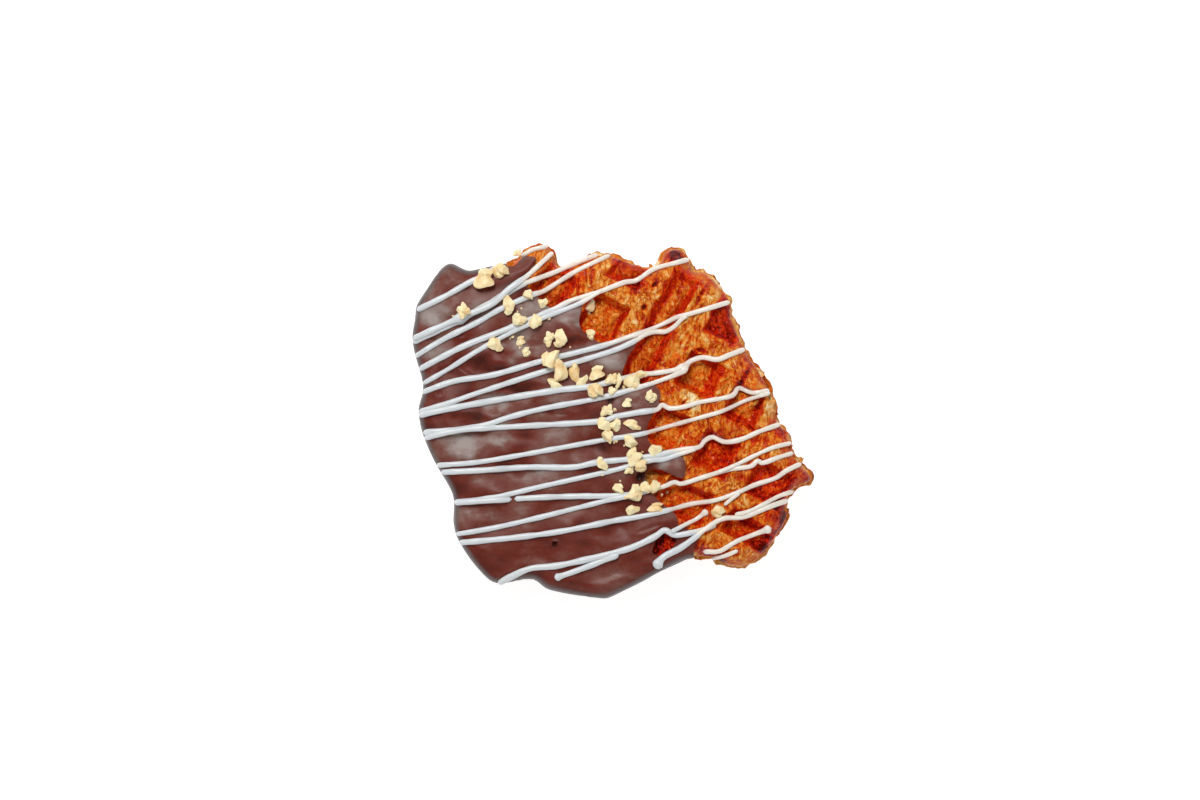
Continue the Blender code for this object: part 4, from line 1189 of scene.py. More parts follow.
@dataclass
class ChocolateCoat:
    """The chocolate that the pastry was dipped in."""

    form: Form
    finish: SetChocolate = field(default_factory=SetChocolate)
    cell: float = 0.42
    span_x: tuple[float, float] = (-62.0, 28.0)
    span_y: tuple[float, float] = (-56.0, 56.0)
    levels: Points = ((0.4, 17.0, 22), (17.6, 23.4, 7))
    side_even: int = 6
    wall: float = 1.6
    room_even: int = 12
    room_step: int = 5
    hole_points: int = 48
    hole_squareness: float = 0.7
    hole_foot: float = 5.0
    corner: float = 50.0
    rim_shade: float = 0.85
    tip: Points = ((-30.9, 44.6), (-21.0, 44.6), (-20.0, 52.5), (-30.6, 52.5), (-31.1, 46.6))
    tip_foot: float = 8.0

    def side(self) -> Array:
        """Return smooth rings of the coat's side, from its lip up."""
        outline = self.form.outline
        heights, insets = np.array(self.form.coat_side).T
        x, y = outline.points.T
        normal = outline.outward(self.side_even)
        rings = []
        for z in spaced(self.levels):
            lip = 2.2 + 0.8 * Unevenness(71).at(x, y, 11.0)
            tuck = 2.2 * np.clip((lip + 1.2 - z) / 1.6, 0, 1) ** 2
            swell = 0.22 * Unevenness(72).at(x + z, y - 0.8 * z, 8.0)
            inset = np.interp(z, heights, insets) + tuck + swell - 0.25 * eased((z - 15.5) / 2.0)
            rings.append(np.column_stack([outline.points - normal * inset[:, None], np.full_like(x, z)]))
        return np.stack(rings)

    def room(self) -> Array:
        """Return rings of the space inside the shell."""
        outline = self.form.outline
        inward = outline.outward(self.room_even)
        rings = [np.column_stack([outline.points - inward * (inset + self.wall), np.full(len(inward), z)])
                 for z, inset in self.form.core_side]
        return np.stack(rings)[:, ::self.room_step]

    def opening(self) -> Array:
        """Return the rim of the hole where the chocolate didn't close over a pocket."""
        form = self.form
        turns = np.linspace(0, 2 * math.pi, self.hole_points, endpoint=False)
        rim_x, rim_y = (np.sign(part) * np.abs(part) ** self.hole_squareness * half
                        for part, half in zip((np.cos(turns), np.sin(turns)), form.hole_half))
        return np.column_stack([form.hole[0] + rim_x + form.hole_lean * rim_y, form.hole[1] + rim_y])

    def painted_sheen(self, x: Array, y: Array) -> Array:
        """Return how much sheen is painted: little on the ridges, most where the chocolate leans towards the
        key light, and more towards the back.
        """
        # Painted sheen grows towards the back; swells that lean towards the key get more, in streaks, and
        # swells that lean away get painted shade.
        warm = eased((y + 48.0) / 42.0)
        facing_key, bare = np.zeros_like(x), np.zeros_like(x)
        for swell in SWELLS:
            if swell.lean > 0:
                facing_key = np.maximum(facing_key, swell.weight(x, y))
            else:
                bare = np.maximum(bare, swell.weight(x, y))
        uneven = Unevenness(75).layered(x, y, 12.0, 3)
        sheen_streaks = Unevenness(76).layered(0.5 * x, y, 2.0, 2) * facing_key
        sheen = (0.30 * facing_key + 0.20 * sheen_streaks) * np.maximum(warm, 0.5)
        return 0.32 + warm * (0.15 + 0.40 * uneven - 0.34 * bare) + sheen + 0.12 * uneven

    def build(self) -> Object:
        """Build the coat and return it."""
        form = self.form
        spans = (np.arange(*span, self.cell) for span in (self.span_x, self.span_y))
        coat = slab("set_chocolate", np.meshgrid(*spans, indexing="ij"), form.coat_height, form.coat_lip)
        cut(coat, "INTERSECT", loft("coat_side", self.side()))
        cut(coat, "INTERSECT", prism("dipped", form.dipped.points))
        cut(coat, "DIFFERENCE", loft("room", self.room()))
        # Under the tip at the back the dough's side leans in, so the chocolate behind it ends higher there.
        cut(coat, "DIFFERENCE", prism("foot", np.array(self.tip), high=self.tip_foot))
        cut(coat, "DIFFERENCE", prism("open_pocket", self.opening(), self.hole_foot))
        x, y, _ = plan_points(coat).T
        store(coat, "bloom", self.painted_sheen(x, y))
        # Painted shade: dark inside the pinholes, gaps and holes that the dents mark, and in a band along the
        # rim.
        gap = sum(dent.dark * eased(1.25 - dent.reach(x, y)) for dent in DENTS if dent.dark)
        rim = self.rim_shade * eased((2.4 - form.outline.depth(x, y)) / 1.8)
        store(coat, "gap", np.clip(gap + rim, 0, 1))
        dress(coat, self.finish.material(), sharp=self.corner)
        return coat


@dataclass(frozen=True)
class Leaf:
    """One loose leaf of crust at the rim: its root on the plan, and how it stands out from there."""

    x: float
    y: float
    z: float
    length: float
    width: float
    turn: float
    rise: float
    baked: float


LEAVES = (
    Leaf(42.0, 14.6, 15.0, 3.4, 3.4, -8, 0.2, 0.1), Leaf(42.6, 11.8, 14.0, 3.9, 1.7, -12, -0.2, 0.46),
    Leaf(44.2, 6.0, 15.2, 4.2, 5.6, 0, 0.2, 0.1), Leaf(44.6, 3.0, 13.6, 4.4, 3.4, 12, 0.1, 0.18),
    Leaf(46.4, 1.6, 12.6, 3.2, 1.6, 14, 0.1, 0.56), Leaf(50.0, -8.0, 14.6, 3.8, 1.8, 12, 0.2, 0.32),
    Leaf(50.8, -9.8, 13.0, 3.6, 1.6, 18, 0.0, 0.3), Leaf(54.4, -12.2, 14.6, 2.8, 2.8, 28, 0.2, 0.2),
    Leaf(-14.6, 44.6, 15.2, 3.0, 0.8, 38, 0.3, 0.66), Leaf(-10.4, 46.8, 14.8, 3.4, 0.9, 24, 0.3, 0.62),
    Leaf(12.2, 45.0, 13.8, 2.2, 1.8, 118, 0.2, 0.24), Leaf(26.4, -38.4, 13.6, 2.8, 2.2, -128, 0.1, 0.1),
    Leaf(50.0, -26.6, 13.4, 2.8, 2.8, 4, -0.2, 0.45), Leaf(36.0, -40.8, 13.0, 2.8, 2.4, -70, 0.0, 0.26),
)


@dataclass
class LooseLeaves:
    """Thin leaves that lifted off the rim in the oven."""

    finish: BakedCrust = field(default_factory=BakedCrust)
    thickness: float = 0.35
    steps: tuple[int, int] = (12, 8)
    corner: float = 50.0

    def leaf(self, leaf: Leaf, seed: int) -> tuple[Array, list]:
        """Return the points and faces of one closed bent leaf."""
        u, v = np.meshgrid(np.linspace(0, 1, self.steps[0]), np.linspace(-1, 1, self.steps[1]), indexing="ij")
        torn = 1 + 0.16 * Unevenness(seed).at(u * 3, v * 3, 1.0) - 0.35 * np.abs(v) ** 3
        out = u * leaf.length * torn
        side = v * leaf.width / 2 * (1 - 0.35 * u ** 3) * (1 + 0.12 * Unevenness(seed + 1).at(u * 4, v, 1.0))
        curl = leaf.rise * out * u + 0.25 * Unevenness(seed + 2).at(u * 2, v * 2, 0.8)
        turn = math.radians(leaf.turn)
        x = leaf.x + out * math.cos(turn) - side * math.sin(turn)
        y = leaf.y + out * math.sin(turn) + side * math.cos(turn)
        z = leaf.z + curl
        half = self.thickness / 2 * (1 - 0.5 * u)
        return closed_sheet(np.stack([x, y, z + half], axis=-1), np.stack([x, y, z - half], axis=-1))

    def build(self) -> Object:
        """Build the leaves and return them as one piece."""
        points, faces, baked = [], [], []
        for number, leaf in enumerate(LEAVES):
            own, own_faces = self.leaf(leaf, 700 + 3 * number)
            first = sum(len(part) for part in points)
            points.append(own)
            faces += [[corner + first for corner in face] for face in own_faces]
            away = np.hypot(own[:, 0] - leaf.x, own[:, 1] - leaf.y) / leaf.length
            baked.append(leaf.baked + 0.22 * eased((away - 0.75) / 0.25))
        leaves = mesh_object("loose_leaves", np.vstack(points), faces)
        store(leaves, "browning", np.concatenate(baked))
        dress(leaves, self.finish.material(), sharp=self.corner)
        return leaves


@dataclass
class Relief:
    """A raster of the highest surface over the plan, which each new topping adds to."""

    cell: float = 0.3
    half: tuple[float, float] = (63.0, 57.0)
    above: float = 50.0

    def __post_init__(self) -> None:
        """Start with an empty table."""
        counts = [round(2 * reach / self.cell) + 1 for reach in self.half]
        self.height = np.zeros(counts)
        self.x = np.linspace(-self.half[0], self.half[0], counts[0])
        self.y = np.linspace(-self.half[1], self.half[1], counts[1])

    def scan(self, objects: Iterable[Object]) -> None:
        """Raise the table to the surfaces of objects, seen from above."""
        down = Vector((0, 0, -1))
        for obj in objects:
            mesh = obj.data
            corners = [vertex.co for vertex in mesh.vertices]
            tree = BVHTree.FromPolygons(corners, [tuple(face.vertices) for face in mesh.polygons])
            for column, x in enumerate(self.x):
                for row, y in enumerate(self.y):
                    start = Vector(((x - MIDDLE[0]) * MM, (y - MIDDLE[1]) * MM, self.above * MM))
                    hit = tree.ray_cast(start, down)[0]
                    if hit is not None:
                        self.height[column, row] = max(self.height[column, row], hit.z / MM)

    def at(self, x: Array, y: Array) -> Array:
        """Return the height over points on the plan."""
        u = np.clip((np.asarray(x) + self.half[0]) / self.cell, 0, len(self.x) - 1.001)
        v = np.clip((np.asarray(y) + self.half[1]) / self.cell, 0, len(self.y) - 1.001)
        i, j = u.astype(int), v.astype(int)
        p, q = u - i, v - j
        low = self.height[i, j] * (1 - p) + self.height[i + 1, j] * p
        high = self.height[i, j + 1] * (1 - p) + self.height[i + 1, j + 1] * p
        return low * (1 - q) + high * q

    def highest(self, x: Array, y: Array, reach: float) -> Array:
        """Return the greatest height within reach of points."""
        found = self.at(x, y)
        for turn in np.linspace(0, 2 * math.pi, 8, endpoint=False):
            found = np.maximum(found, self.at(x + reach * math.cos(turn), y + reach * math.sin(turn)))
        return found

    def raise_to(self, x: float, y: float, reach: float, top: float, side: float) -> None:
        """Lay a round pad on the table.

        Args:
            x: Its middle.
            y: Its middle.
            reach: Its radius.
            top: The height of its middle.
            side: How much lower it is at its edge.
        """
        i0, i1 = np.searchsorted(self.x, (x - reach, x + reach))
        j0, j1 = np.searchsorted(self.y, (y - reach, y + reach))
        away = np.hypot(self.x[i0:i1, None] - x, self.y[None, j0:j1] - y) / reach
        pad = np.where(away < 1, top - side * away ** 2, 0.0)
        part = self.height[i0:i1, j0:j1]
        np.maximum(part, pad, out=part)


@dataclass(frozen=True)
class GrowTree:
    """A Geometry Nodes tree with named inputs, run once on an object and turned to a plain mesh."""

    name: str
    inputs: dict[str, str]
    make: Callable[[Tree, bpy.types.NodeOutputs, Socket], Socket]

    def run(self, obj: Object, values: dict) -> None:
        """Grow an object's mesh.

        Args:
            obj: The object, whose mesh is the seed.
            values: The value of each named input, among them the material.
        """
        tree = bpy.data.node_groups.new(self.name, "GeometryNodeTree")
        inputs = {"Geometry": "NodeSocketGeometry", **self.inputs, "Material": "NodeSocketMaterial"}
        for name, kind in inputs.items():
            tree.interface.new_socket(name, in_out="INPUT", socket_type=kind)
        tree.interface.new_socket("Geometry", in_out="OUTPUT", socket_type="NodeSocketGeometry")
        given = tree.nodes.new("NodeGroupInput").outputs
        grown = self.make(tree, given, given["Geometry"])
        real = add(tree, "GeometryNodeRealizeInstances", {"Geometry": grown})
        dressed = add(tree, "GeometryNodeSetMaterial", {"Geometry": real, "Material": given["Material"]})
        add(tree, "NodeGroupOutput", {"Geometry": dressed}, output=None)
        modifier = obj.modifiers.new(self.name, "NODES")
        modifier.node_group = tree
        for item in tree.interface.items_tree:
            if item.in_out == "INPUT" and item.name in values:
                modifier[item.identifier] = values[item.name]
        apply_modifiers(obj)
        bpy.data.node_groups.remove(tree)


def grow_piping(tree: Tree, given: bpy.types.NodeOutputs, seed: Socket) -> Socket:
    """Make round-edged piping along lines, as thick as their girth says."""
    curve = add(tree, "GeometryNodeMeshToCurve", {"Mesh": seed})
    upright = add(tree, "GeometryNodeSetCurveNormal", {"Curve": curve}, mode="Z_UP")
    ring = add(tree, "GeometryNodeCurvePrimitiveCircle", {"Radius": 1.0, "Resolution": given["Sides"]})
    squash = add(tree, "ShaderNodeCombineXYZ", {"X": 1.0, "Y": given["Flatness"], "Z": 1.0})
    profile = add(tree, "GeometryNodeTransform", {"Geometry": ring, "Scale": squash})
    girth = add(tree, NAMED, {"Name": "girth"}, data_type="FLOAT")
    return add(tree, "GeometryNodeCurveToMesh", {"Curve": upright, "Profile Curve": profile, "Scale": girth,
                                                 "Fill Caps": True})


def grow_chunks(tree: Tree, given: bpy.types.NodeOutputs, seed: Socket) -> Socket:
    """Set one of several chunks on each point, turned and sized as the point says."""
    shelf = add(tree, "GeometryNodeCollectionInfo", {
        "Collection": given["Chunks"], "Separate Children": True, "Reset Children": True,
    })
    told = {"kind": "INT", "turn": "FLOAT_VECTOR", "size": "FLOAT_VECTOR", "toast": "FLOAT"}
    kind, turn, size, toast = (add(tree, NAMED, {"Name": name}, data_type=data)
                               for name, data in told.items())
    rotation = add(tree, "FunctionNodeEulerToRotation", {0: turn})
    placed = add(tree, "GeometryNodeInstanceOnPoints", {
        "Points": seed, "Instance": shelf, "Pick Instance": True, "Instance Index": kind,
        "Rotation": rotation, "Scale": size,
    })
    return add(tree, "GeometryNodeStoreNamedAttribute", {"Geometry": placed, "Name": "toast", "Value": toast},
               data_type="FLOAT", domain="INSTANCE")


@dataclass(frozen=True)
class Line:
    """One line of white chocolate, as wide as given, through points on the plan."""

    width: float
    points: tuple[tuple[float, float], ...]
    blunt: tuple[bool, bool] = (False, False)


LINES = (
    Line(1.7, ((-25.8, 49.9), (-23.4, 51.2), (-20.4, 51.9))),
    Line(1.79, ((-59, 32.6), (-50, 37), (-42, 41.5), (-38.5, 43), (-33, 46.8))),
    Line(1.87, ((-59.3, 23.6), (-45, 30.3), (-31, 38.3), (-26, 41), (-17, 44.5), (-10, 47.5),
        (-3.5, 50))),
    Line(1.79, ((-59.2, 24.6), (-52, 27.8), (-45, 30.9), (-36, 34.7), (-31, 39), (-25, 43.5),
        (-17.5, 50.5))),
    Line(1.72, ((-59, 19), (-50, 24.5), (-40, 29.5), (-33, 33.5), (-24, 37.5), (-20, 39), (-12, 44),
        (-5, 47.5), (0.5, 50))),
    Line(1.79, ((-57.5, 15.4), (-45, 22), (-35, 26), (-24, 30.5), (-17, 33.5), (-12, 36), (-4.8, 38.2),
        (3.1, 41.2), (7.4, 42.1), (12.5, 45.4), (19, 47.2), (24, 48.6))),
    Line(1.48, ((-56.6, 11), (-48, 16), (-40, 21), (-30, 26.5), (-20, 31), (-10, 35), (-3, 39))),
    Line(1.79, ((-56.5, 8.6), (-47, 12), (-35, 14), (-21, 18), (-12, 20.2), (-2.3, 22.7), (3.1, 24.5),
        (10.3, 27), (14.6, 28.8), (19.3, 31), (22.6, 31.9), (28, 33.5), (35.6, 35.8))),
    Line(1.64, ((-57.5, 2.9), (-50, 5), (-40, 8.5), (-20, 15), (-8.4, 18.4), (0.6, 21.2), (6.8, 24),
        (10.1, 26), (12.7, 26.7), (15.9, 26.8), (18.4, 28.2), (20.6, 30.4), (22.4, 31.6))),
    Line(1.87, ((-57.8, 1.8), (-45, 4.5), (-25, 8), (-15, 9.5), (-6, 10.5), (1, 12.4), (8, 14),
        (12.5, 14.4), (20.4, 15.8), (23.3, 18), (26.9, 19.1), (31.2, 18.5), (34.8, 19.8), (41, 22.2))),
    Line(1.72, ((-56.6, -3.3), (-40, -1.5), (-30, 1.5), (-20, 4), (-4, 7), (9, 10.5), (15, 12.5),
        (20, 14.5), (22.5, 16.4))),
    Line(1.72, ((-56.3, -5), (-45, -2.5), (-30, -1.5), (-5, 0), (1, 1.5), (8, 2.8), (13.2, 3.6),
        (14.8, 5), (17.2, 4), (21.2, 4.4), (26, 5.8), (35.2, 7.6), (37.6, 10), (42, 8.6), (47.4, 9.5))),
    Line(1.56, ((-53.0, -13), (-40, -12), (-25, -9.5), (-3, -5.5), (8, -3.8), (16, -1.6), (26, 1.2),
        (32.8, 3.2), (40, 6.4), (47.6, 8.8))),
    Line(1.79, ((-51.8, -15), (-40, -14.5), (-25, -13.5), (-12, -13.5), (-4, -12), (10.4, -10.5),
        (20, -8.4), (25.6, -7.6), (27.6, -5.6), (30, -4.6), (33.6, -6), (38.4, -5.2), (44, -2.8),
        (51.6, -0.2))),
    Line(1.56, ((-47.4, -24), (-35, -22.4), (-20, -19), (0, -14.5), (10.8, -11.6), (15.2, -11.2),
        (20, -9.6), (25.2, -8))),
    Line(1.72, ((-47.4, -24.2), (-40, -23.6), (-35, -23.3), (-29.8, -23))),
    Line(1.72, ((-29, -22.9), (-20, -22.4), (-10, -22.1), (3, -21.8), (14, -19.6), (18.4, -18),
        (20.8, -18.4), (27.2, -16.4), (34, -14.4), (37.6, -13.8), (41.2, -13.2), (43.2, -11.6),
        (44.8, -12.2), (50, -10.4), (55, -9))),
    Line(1.56, ((31, -15.2), (36.8, -12.8), (42.4, -10), (48, -7.6), (54, -6.2))),
    Line(1.56, ((-46.9, -33.5), (-35, -31.5), (-20, -28), (0, -23), (6, -21.8))),
    Line(1.72, ((-46.4, -36), (-30, -34.5), (-15, -32.5), (0, -29.5), (8, -28.2), (16, -26.4),
        (24, -24.4), (30.4, -23.4), (36.8, -21.2), (42.4, -18.8), (48.4, -16.8), (52, -14.4),
        (57.8, -11.8))),
    Line(1.48, ((33.2, -24.8), (35.4, -23), (38, -21)), (True, False)),
    Line(1.87, ((-34, -48.2), (-30, -46), (-24, -43.5), (-15, -42.5), (2, -38.5), (8, -36.4),
        (12.8, -34), (15.6, -32.2), (18.4, -33.6), (21.2, -33.4), (27.2, -32), (31, -30.4))),
    Line(1.79, ((-17, -46.4), (-10, -44), (2, -39.4)), (True, False)),
    Line(1.56, ((17.4, -32.8), (22, -30.4), (25.2, -28.8), (28.4, -26.4)), (False, True)),
    Line(1.87, ((12.8, -43.4), (15.2, -40.2), (20, -37.6), (24, -34.8), (28, -31.6), (32.8, -28.8),
        (38.4, -28.4), (42.8, -26.8), (48, -24.8), (53, -23.2)), (True, False)),
    Line(1.56, ((36.4, -27.6), (40, -26.8), (45.2, -24.4), (50, -22), (55.6, -20.2))),
    Line(1.72, ((28.4, -38.6), (32, -38.4), (36.8, -35.6), (42, -33.6), (47.2, -31.6)), (False, True)),
    Line(1.48, ((30.4, -40.6), (33.6, -39.8), (37.4, -38.2))),
)
BEADS = (
    (13.2, -42.6, 1.75), (46.8, -31.8, 1.45), (-17.0, -46.4, 1.35), (28.2, -26.5, 1.2), (-45, 30.6, 1.5),
    (20.6, 16.4, 1.5),
)


@dataclass
class Piping:
    """The white chocolate lines, laid one after another."""

    form: Form
    relief: Relief
    finish: WhiteChocolate = field(default_factory=WhiteChocolate)
    step: float = 0.5
    flatness: float = 0.62
    sides: int = 12
    sink: float = 0.12
    foot: float = 0.45
    sag: float = 0.10
    span: float = 7.0
    over: float = 1.4
    fall: float = 3.0
    slimming: float = 0.18
    lowest: float = 14.0
    rolling: float = 0.13
    rolling_mm: float = 4.0
    bead_spread: float = 2.2
    evening: tuple[float, ...] = (0.1, 0.2, 0.4, 0.2, 0.1)

    def drape(self, ground: Array) -> Array:
        """Return the heights of a line that spans the pockets under it and sags between their edges."""
        reach = round(self.span / self.step)
        drop = self.sag * (np.arange(-reach, reach + 1) * self.step) ** 2
        windows = np.lib.stride_tricks.sliding_window_view
        above = windows(np.pad(ground, reach, mode="edge"), 2 * reach + 1) - drop
        over = above.max(1)
        return (windows(np.pad(over, reach, mode="edge"), 2 * reach + 1) + drop).min(1)

    def run_over(self, line: Line) -> Array:
        """Return a line's points, with each tapered end near the rim drawn on past it."""
        points = np.array(line.points, float)
        ends = ((0, points[0] - points[1]), (len(points), points[-1] - points[-2]))
        for (number, way), blunt in zip(ends[::-1], line.blunt[::-1]):
            end = points[min(number, len(points) - 1)]
            if not blunt and self.form.outline.depth(*end[:, None])[0] < 2.0 * self.over:
                points = np.insert(points, number, end + way / np.linalg.norm(way) * self.over, axis=0)
        return points

    def lay(self, line: Line, seed: int) -> tuple[Array, Array]:
        """Lay one line on what is there, and return its middle points and its girths."""
        way = even_curve(self.run_over(line), self.step, closed=False)
        carried = np.flatnonzero(self.form.outline.depth(*way.T) > 0.05)
        if len(carried):
            way = way[carried[0]: carried[-1] + 1]
        x, y = way.T
        reach = np.arange(len(way)) * self.step
        steady = np.full_like(reach, 3.7 * seed)
        girth = line.width / 2 * (1 + self.rolling * Unevenness(81).at(reach, steady, self.rolling_mm))
        girth = girth * (1 - self.slimming * eased(0.5 - self.form.under_coat(x, y) / 2.0))
        for bead_x, bead_y, size in BEADS:
            near = np.exp(-(((x - bead_x) ** 2 + (y - bead_y) ** 2) / self.bead_spread))
            girth = girth + np.maximum(size - girth, 0) * near
        for end, blunt in ((reach, line.blunt[0]), (reach[-1] - reach, line.blunt[1])):
            length = girth if blunt else 1.5 * girth
            girth = girth * np.sqrt(np.clip(1 - (1 - np.clip(end / length, 0, 1)) ** 2, 0.02, 1))
        rest = np.maximum(self.relief.highest(x, y, self.foot), self.lowest)
        held = eased(np.minimum(reach, reach[-1] - reach) / self.fall)
        ground = rest + (self.drape(rest) - rest) * held
        ground = np.convolve(np.pad(ground, len(self.evening) // 2, mode="edge"), self.evening, mode="valid")
        z = ground + girth * self.flatness - self.sink
        for px, py, pz, size in zip(x, y, z, girth):
            self.relief.raise_to(px, py, size, pz + size * self.flatness * 0.9, size * self.flatness)
        return np.column_stack([x, y, z]), girth

    def build(self) -> Object:
        """Build the lines and return them as one piece."""
        points, girths, edges = [], [], []
        first = 0
        for seed, line in enumerate(LINES):
            way, girth = self.lay(line, seed)
            points.append(way)
            girths.append(girth * MM)
            edges += [(k, k + 1) for k in range(first, first + len(way) - 1)]
            first += len(way)
        lines = mesh_object("white_chocolate_lines", np.vstack(points), [], edges)
        store(lines, "girth", np.concatenate(girths))
        material = self.finish.material()
        piping = GrowTree("piping", {"Sides": "NodeSocketInt", "Flatness": "NodeSocketFloat"}, grow_piping)
        piping.run(lines, {"Sides": self.sides, "Flatness": self.flatness, "Material": material})
        x, y, _ = plan_points(lines).T
        store(lines, "warmth", eased((1.2 - self.form.under_coat(x, y)) / 2.4))
        dress(lines, material)
        return lines


@dataclass(frozen=True)
class Nut:
    """One chunk of nut: its middle on the plan, its length and width, and its turn in degrees."""

    x: float
    y: float
    length: float
    width: float
    turn: float = 0.0
    toast: float = 0.0


NUTS = (
    Nut(-38.2, 42.6, 6.4, 5.6, 10, 0.14), Nut(-33.0, 44.7, 5.2, 4.6, -20, 0.18),
    Nut(-44.3, 32.9, 4.0, 4.2, 40, 0.1), Nut(-30.7, 34.6, 5.9, 3.6, 80, 0.08),
    Nut(-24.6, 37.7, 3.4, 2.9, -35, 0.05), Nut(-20.4, 35.2, 3.0, 2.8, 15, 0.05),
    Nut(-27.7, 30.4, 4.4, 4.2, 30, 0.0), Nut(-22.7, 29.6, 4.3, 3.7, 70, 0.06),
    Nut(-34.4, 22.9, 4.9, 3.7, -30, 0.06), Nut(-27.3, 24.1, 3.0, 2.6, 20, 0.1),
    Nut(-25.4, 20.8, 3.2, 2.7, 60, 0.05), Nut(-18.9, 24.5, 4.6, 2.9, 65, 0.02),
    Nut(-15.4, 24.7, 5.5, 4.2, 60, 0.04), Nut(-18.3, 19.1, 6.4, 4.9, 55, 0.04),
    Nut(-15.3, 15.5, 6.8, 4.2, 95, 0.16), Nut(-11.2, 14.7, 6.6, 3.3, 105, 0.24),
    Nut(-17.2, 11.1, 4.9, 2.6, -35, 0.0), Nut(-8.9, 12.0, 4.7, 2.7, 55, 0.0),
    Nut(-4.7, 14.5, 5.0, 4.0, 20, 0.06), Nut(-4.9, 9.2, 5.2, 4.6, -30, 0.18),
    Nut(-0.3, 12.8, 3.5, 3.3, 0, 0.16), Nut(1.9, 12.2, 4.6, 1.8, 75, 0.0),
    Nut(0.2, 9.4, 3.0, 2.6, 30, 0.04), Nut(-6.3, 34.6, 4.0, 2.9, 60, 0.06),
    Nut(-6.3, 26.0, 3.4, 2.9, -50, 0.1), Nut(5.8, 11.8, 4.9, 4.6, 15, 0.1),
    Nut(8.8, 14.1, 4.0, 2.4, 10, 0.0), Nut(4.4, 5.7, 2.9, 2.7, 0, 0.0),
    Nut(11.6, 7.6, 4.0, 3.6, 90, 0.02), Nut(-1.7, 3.4, 3.9, 3.3, 10, 0.02),
    Nut(-2.4, -0.8, 4.8, 3.8, -70, 0.06), Nut(-1.0, -4.4, 4.4, 3.2, -60, 0.1),
    Nut(1.2, -1.0, 3.7, 3.4, 40, 0.06), Nut(6.0, -0.8, 5.4, 2.9, -14, 0.06),
    Nut(5.2, -5.8, 4.4, 3.4, -45, 0.04), Nut(12.8, -8.2, 4.0, 3.4, 30, 0.0),
    Nut(6.1, -10.4, 5.4, 4.2, 50, 0.08), Nut(8.7, -13.0, 4.4, 3.8, 40, 0.06),
    Nut(5.0, -14.4, 2.8, 2.2, 0, 0.12), Nut(-3.0, -12.5, 4.5, 2.9, -72, 0.02),
    Nut(2.2, -20.0, 4.2, 3.0, -42, 0.04), Nut(7.0, -21.0, 5.2, 4.3, 65, 0.06),
    Nut(10.0, -19.4, 4.2, 3.6, 15, 0.0), Nut(12.7, -19.4, 3.9, 3.3, 70, 0.1),
    Nut(6.2, -26.0, 4.2, 2.7, 18, 0.06), Nut(12.7, -25.3, 4.9, 2.6, 5, 0.26),
    Nut(31.6, -26.8, 4.3, 4.1, 0, 0.2), Nut(-28.3, 50.3, 2.6, 2.2, 0, 0.0),
    Nut(13.5, 47.0, 1.8, 1.4, 30, 0.1),
)


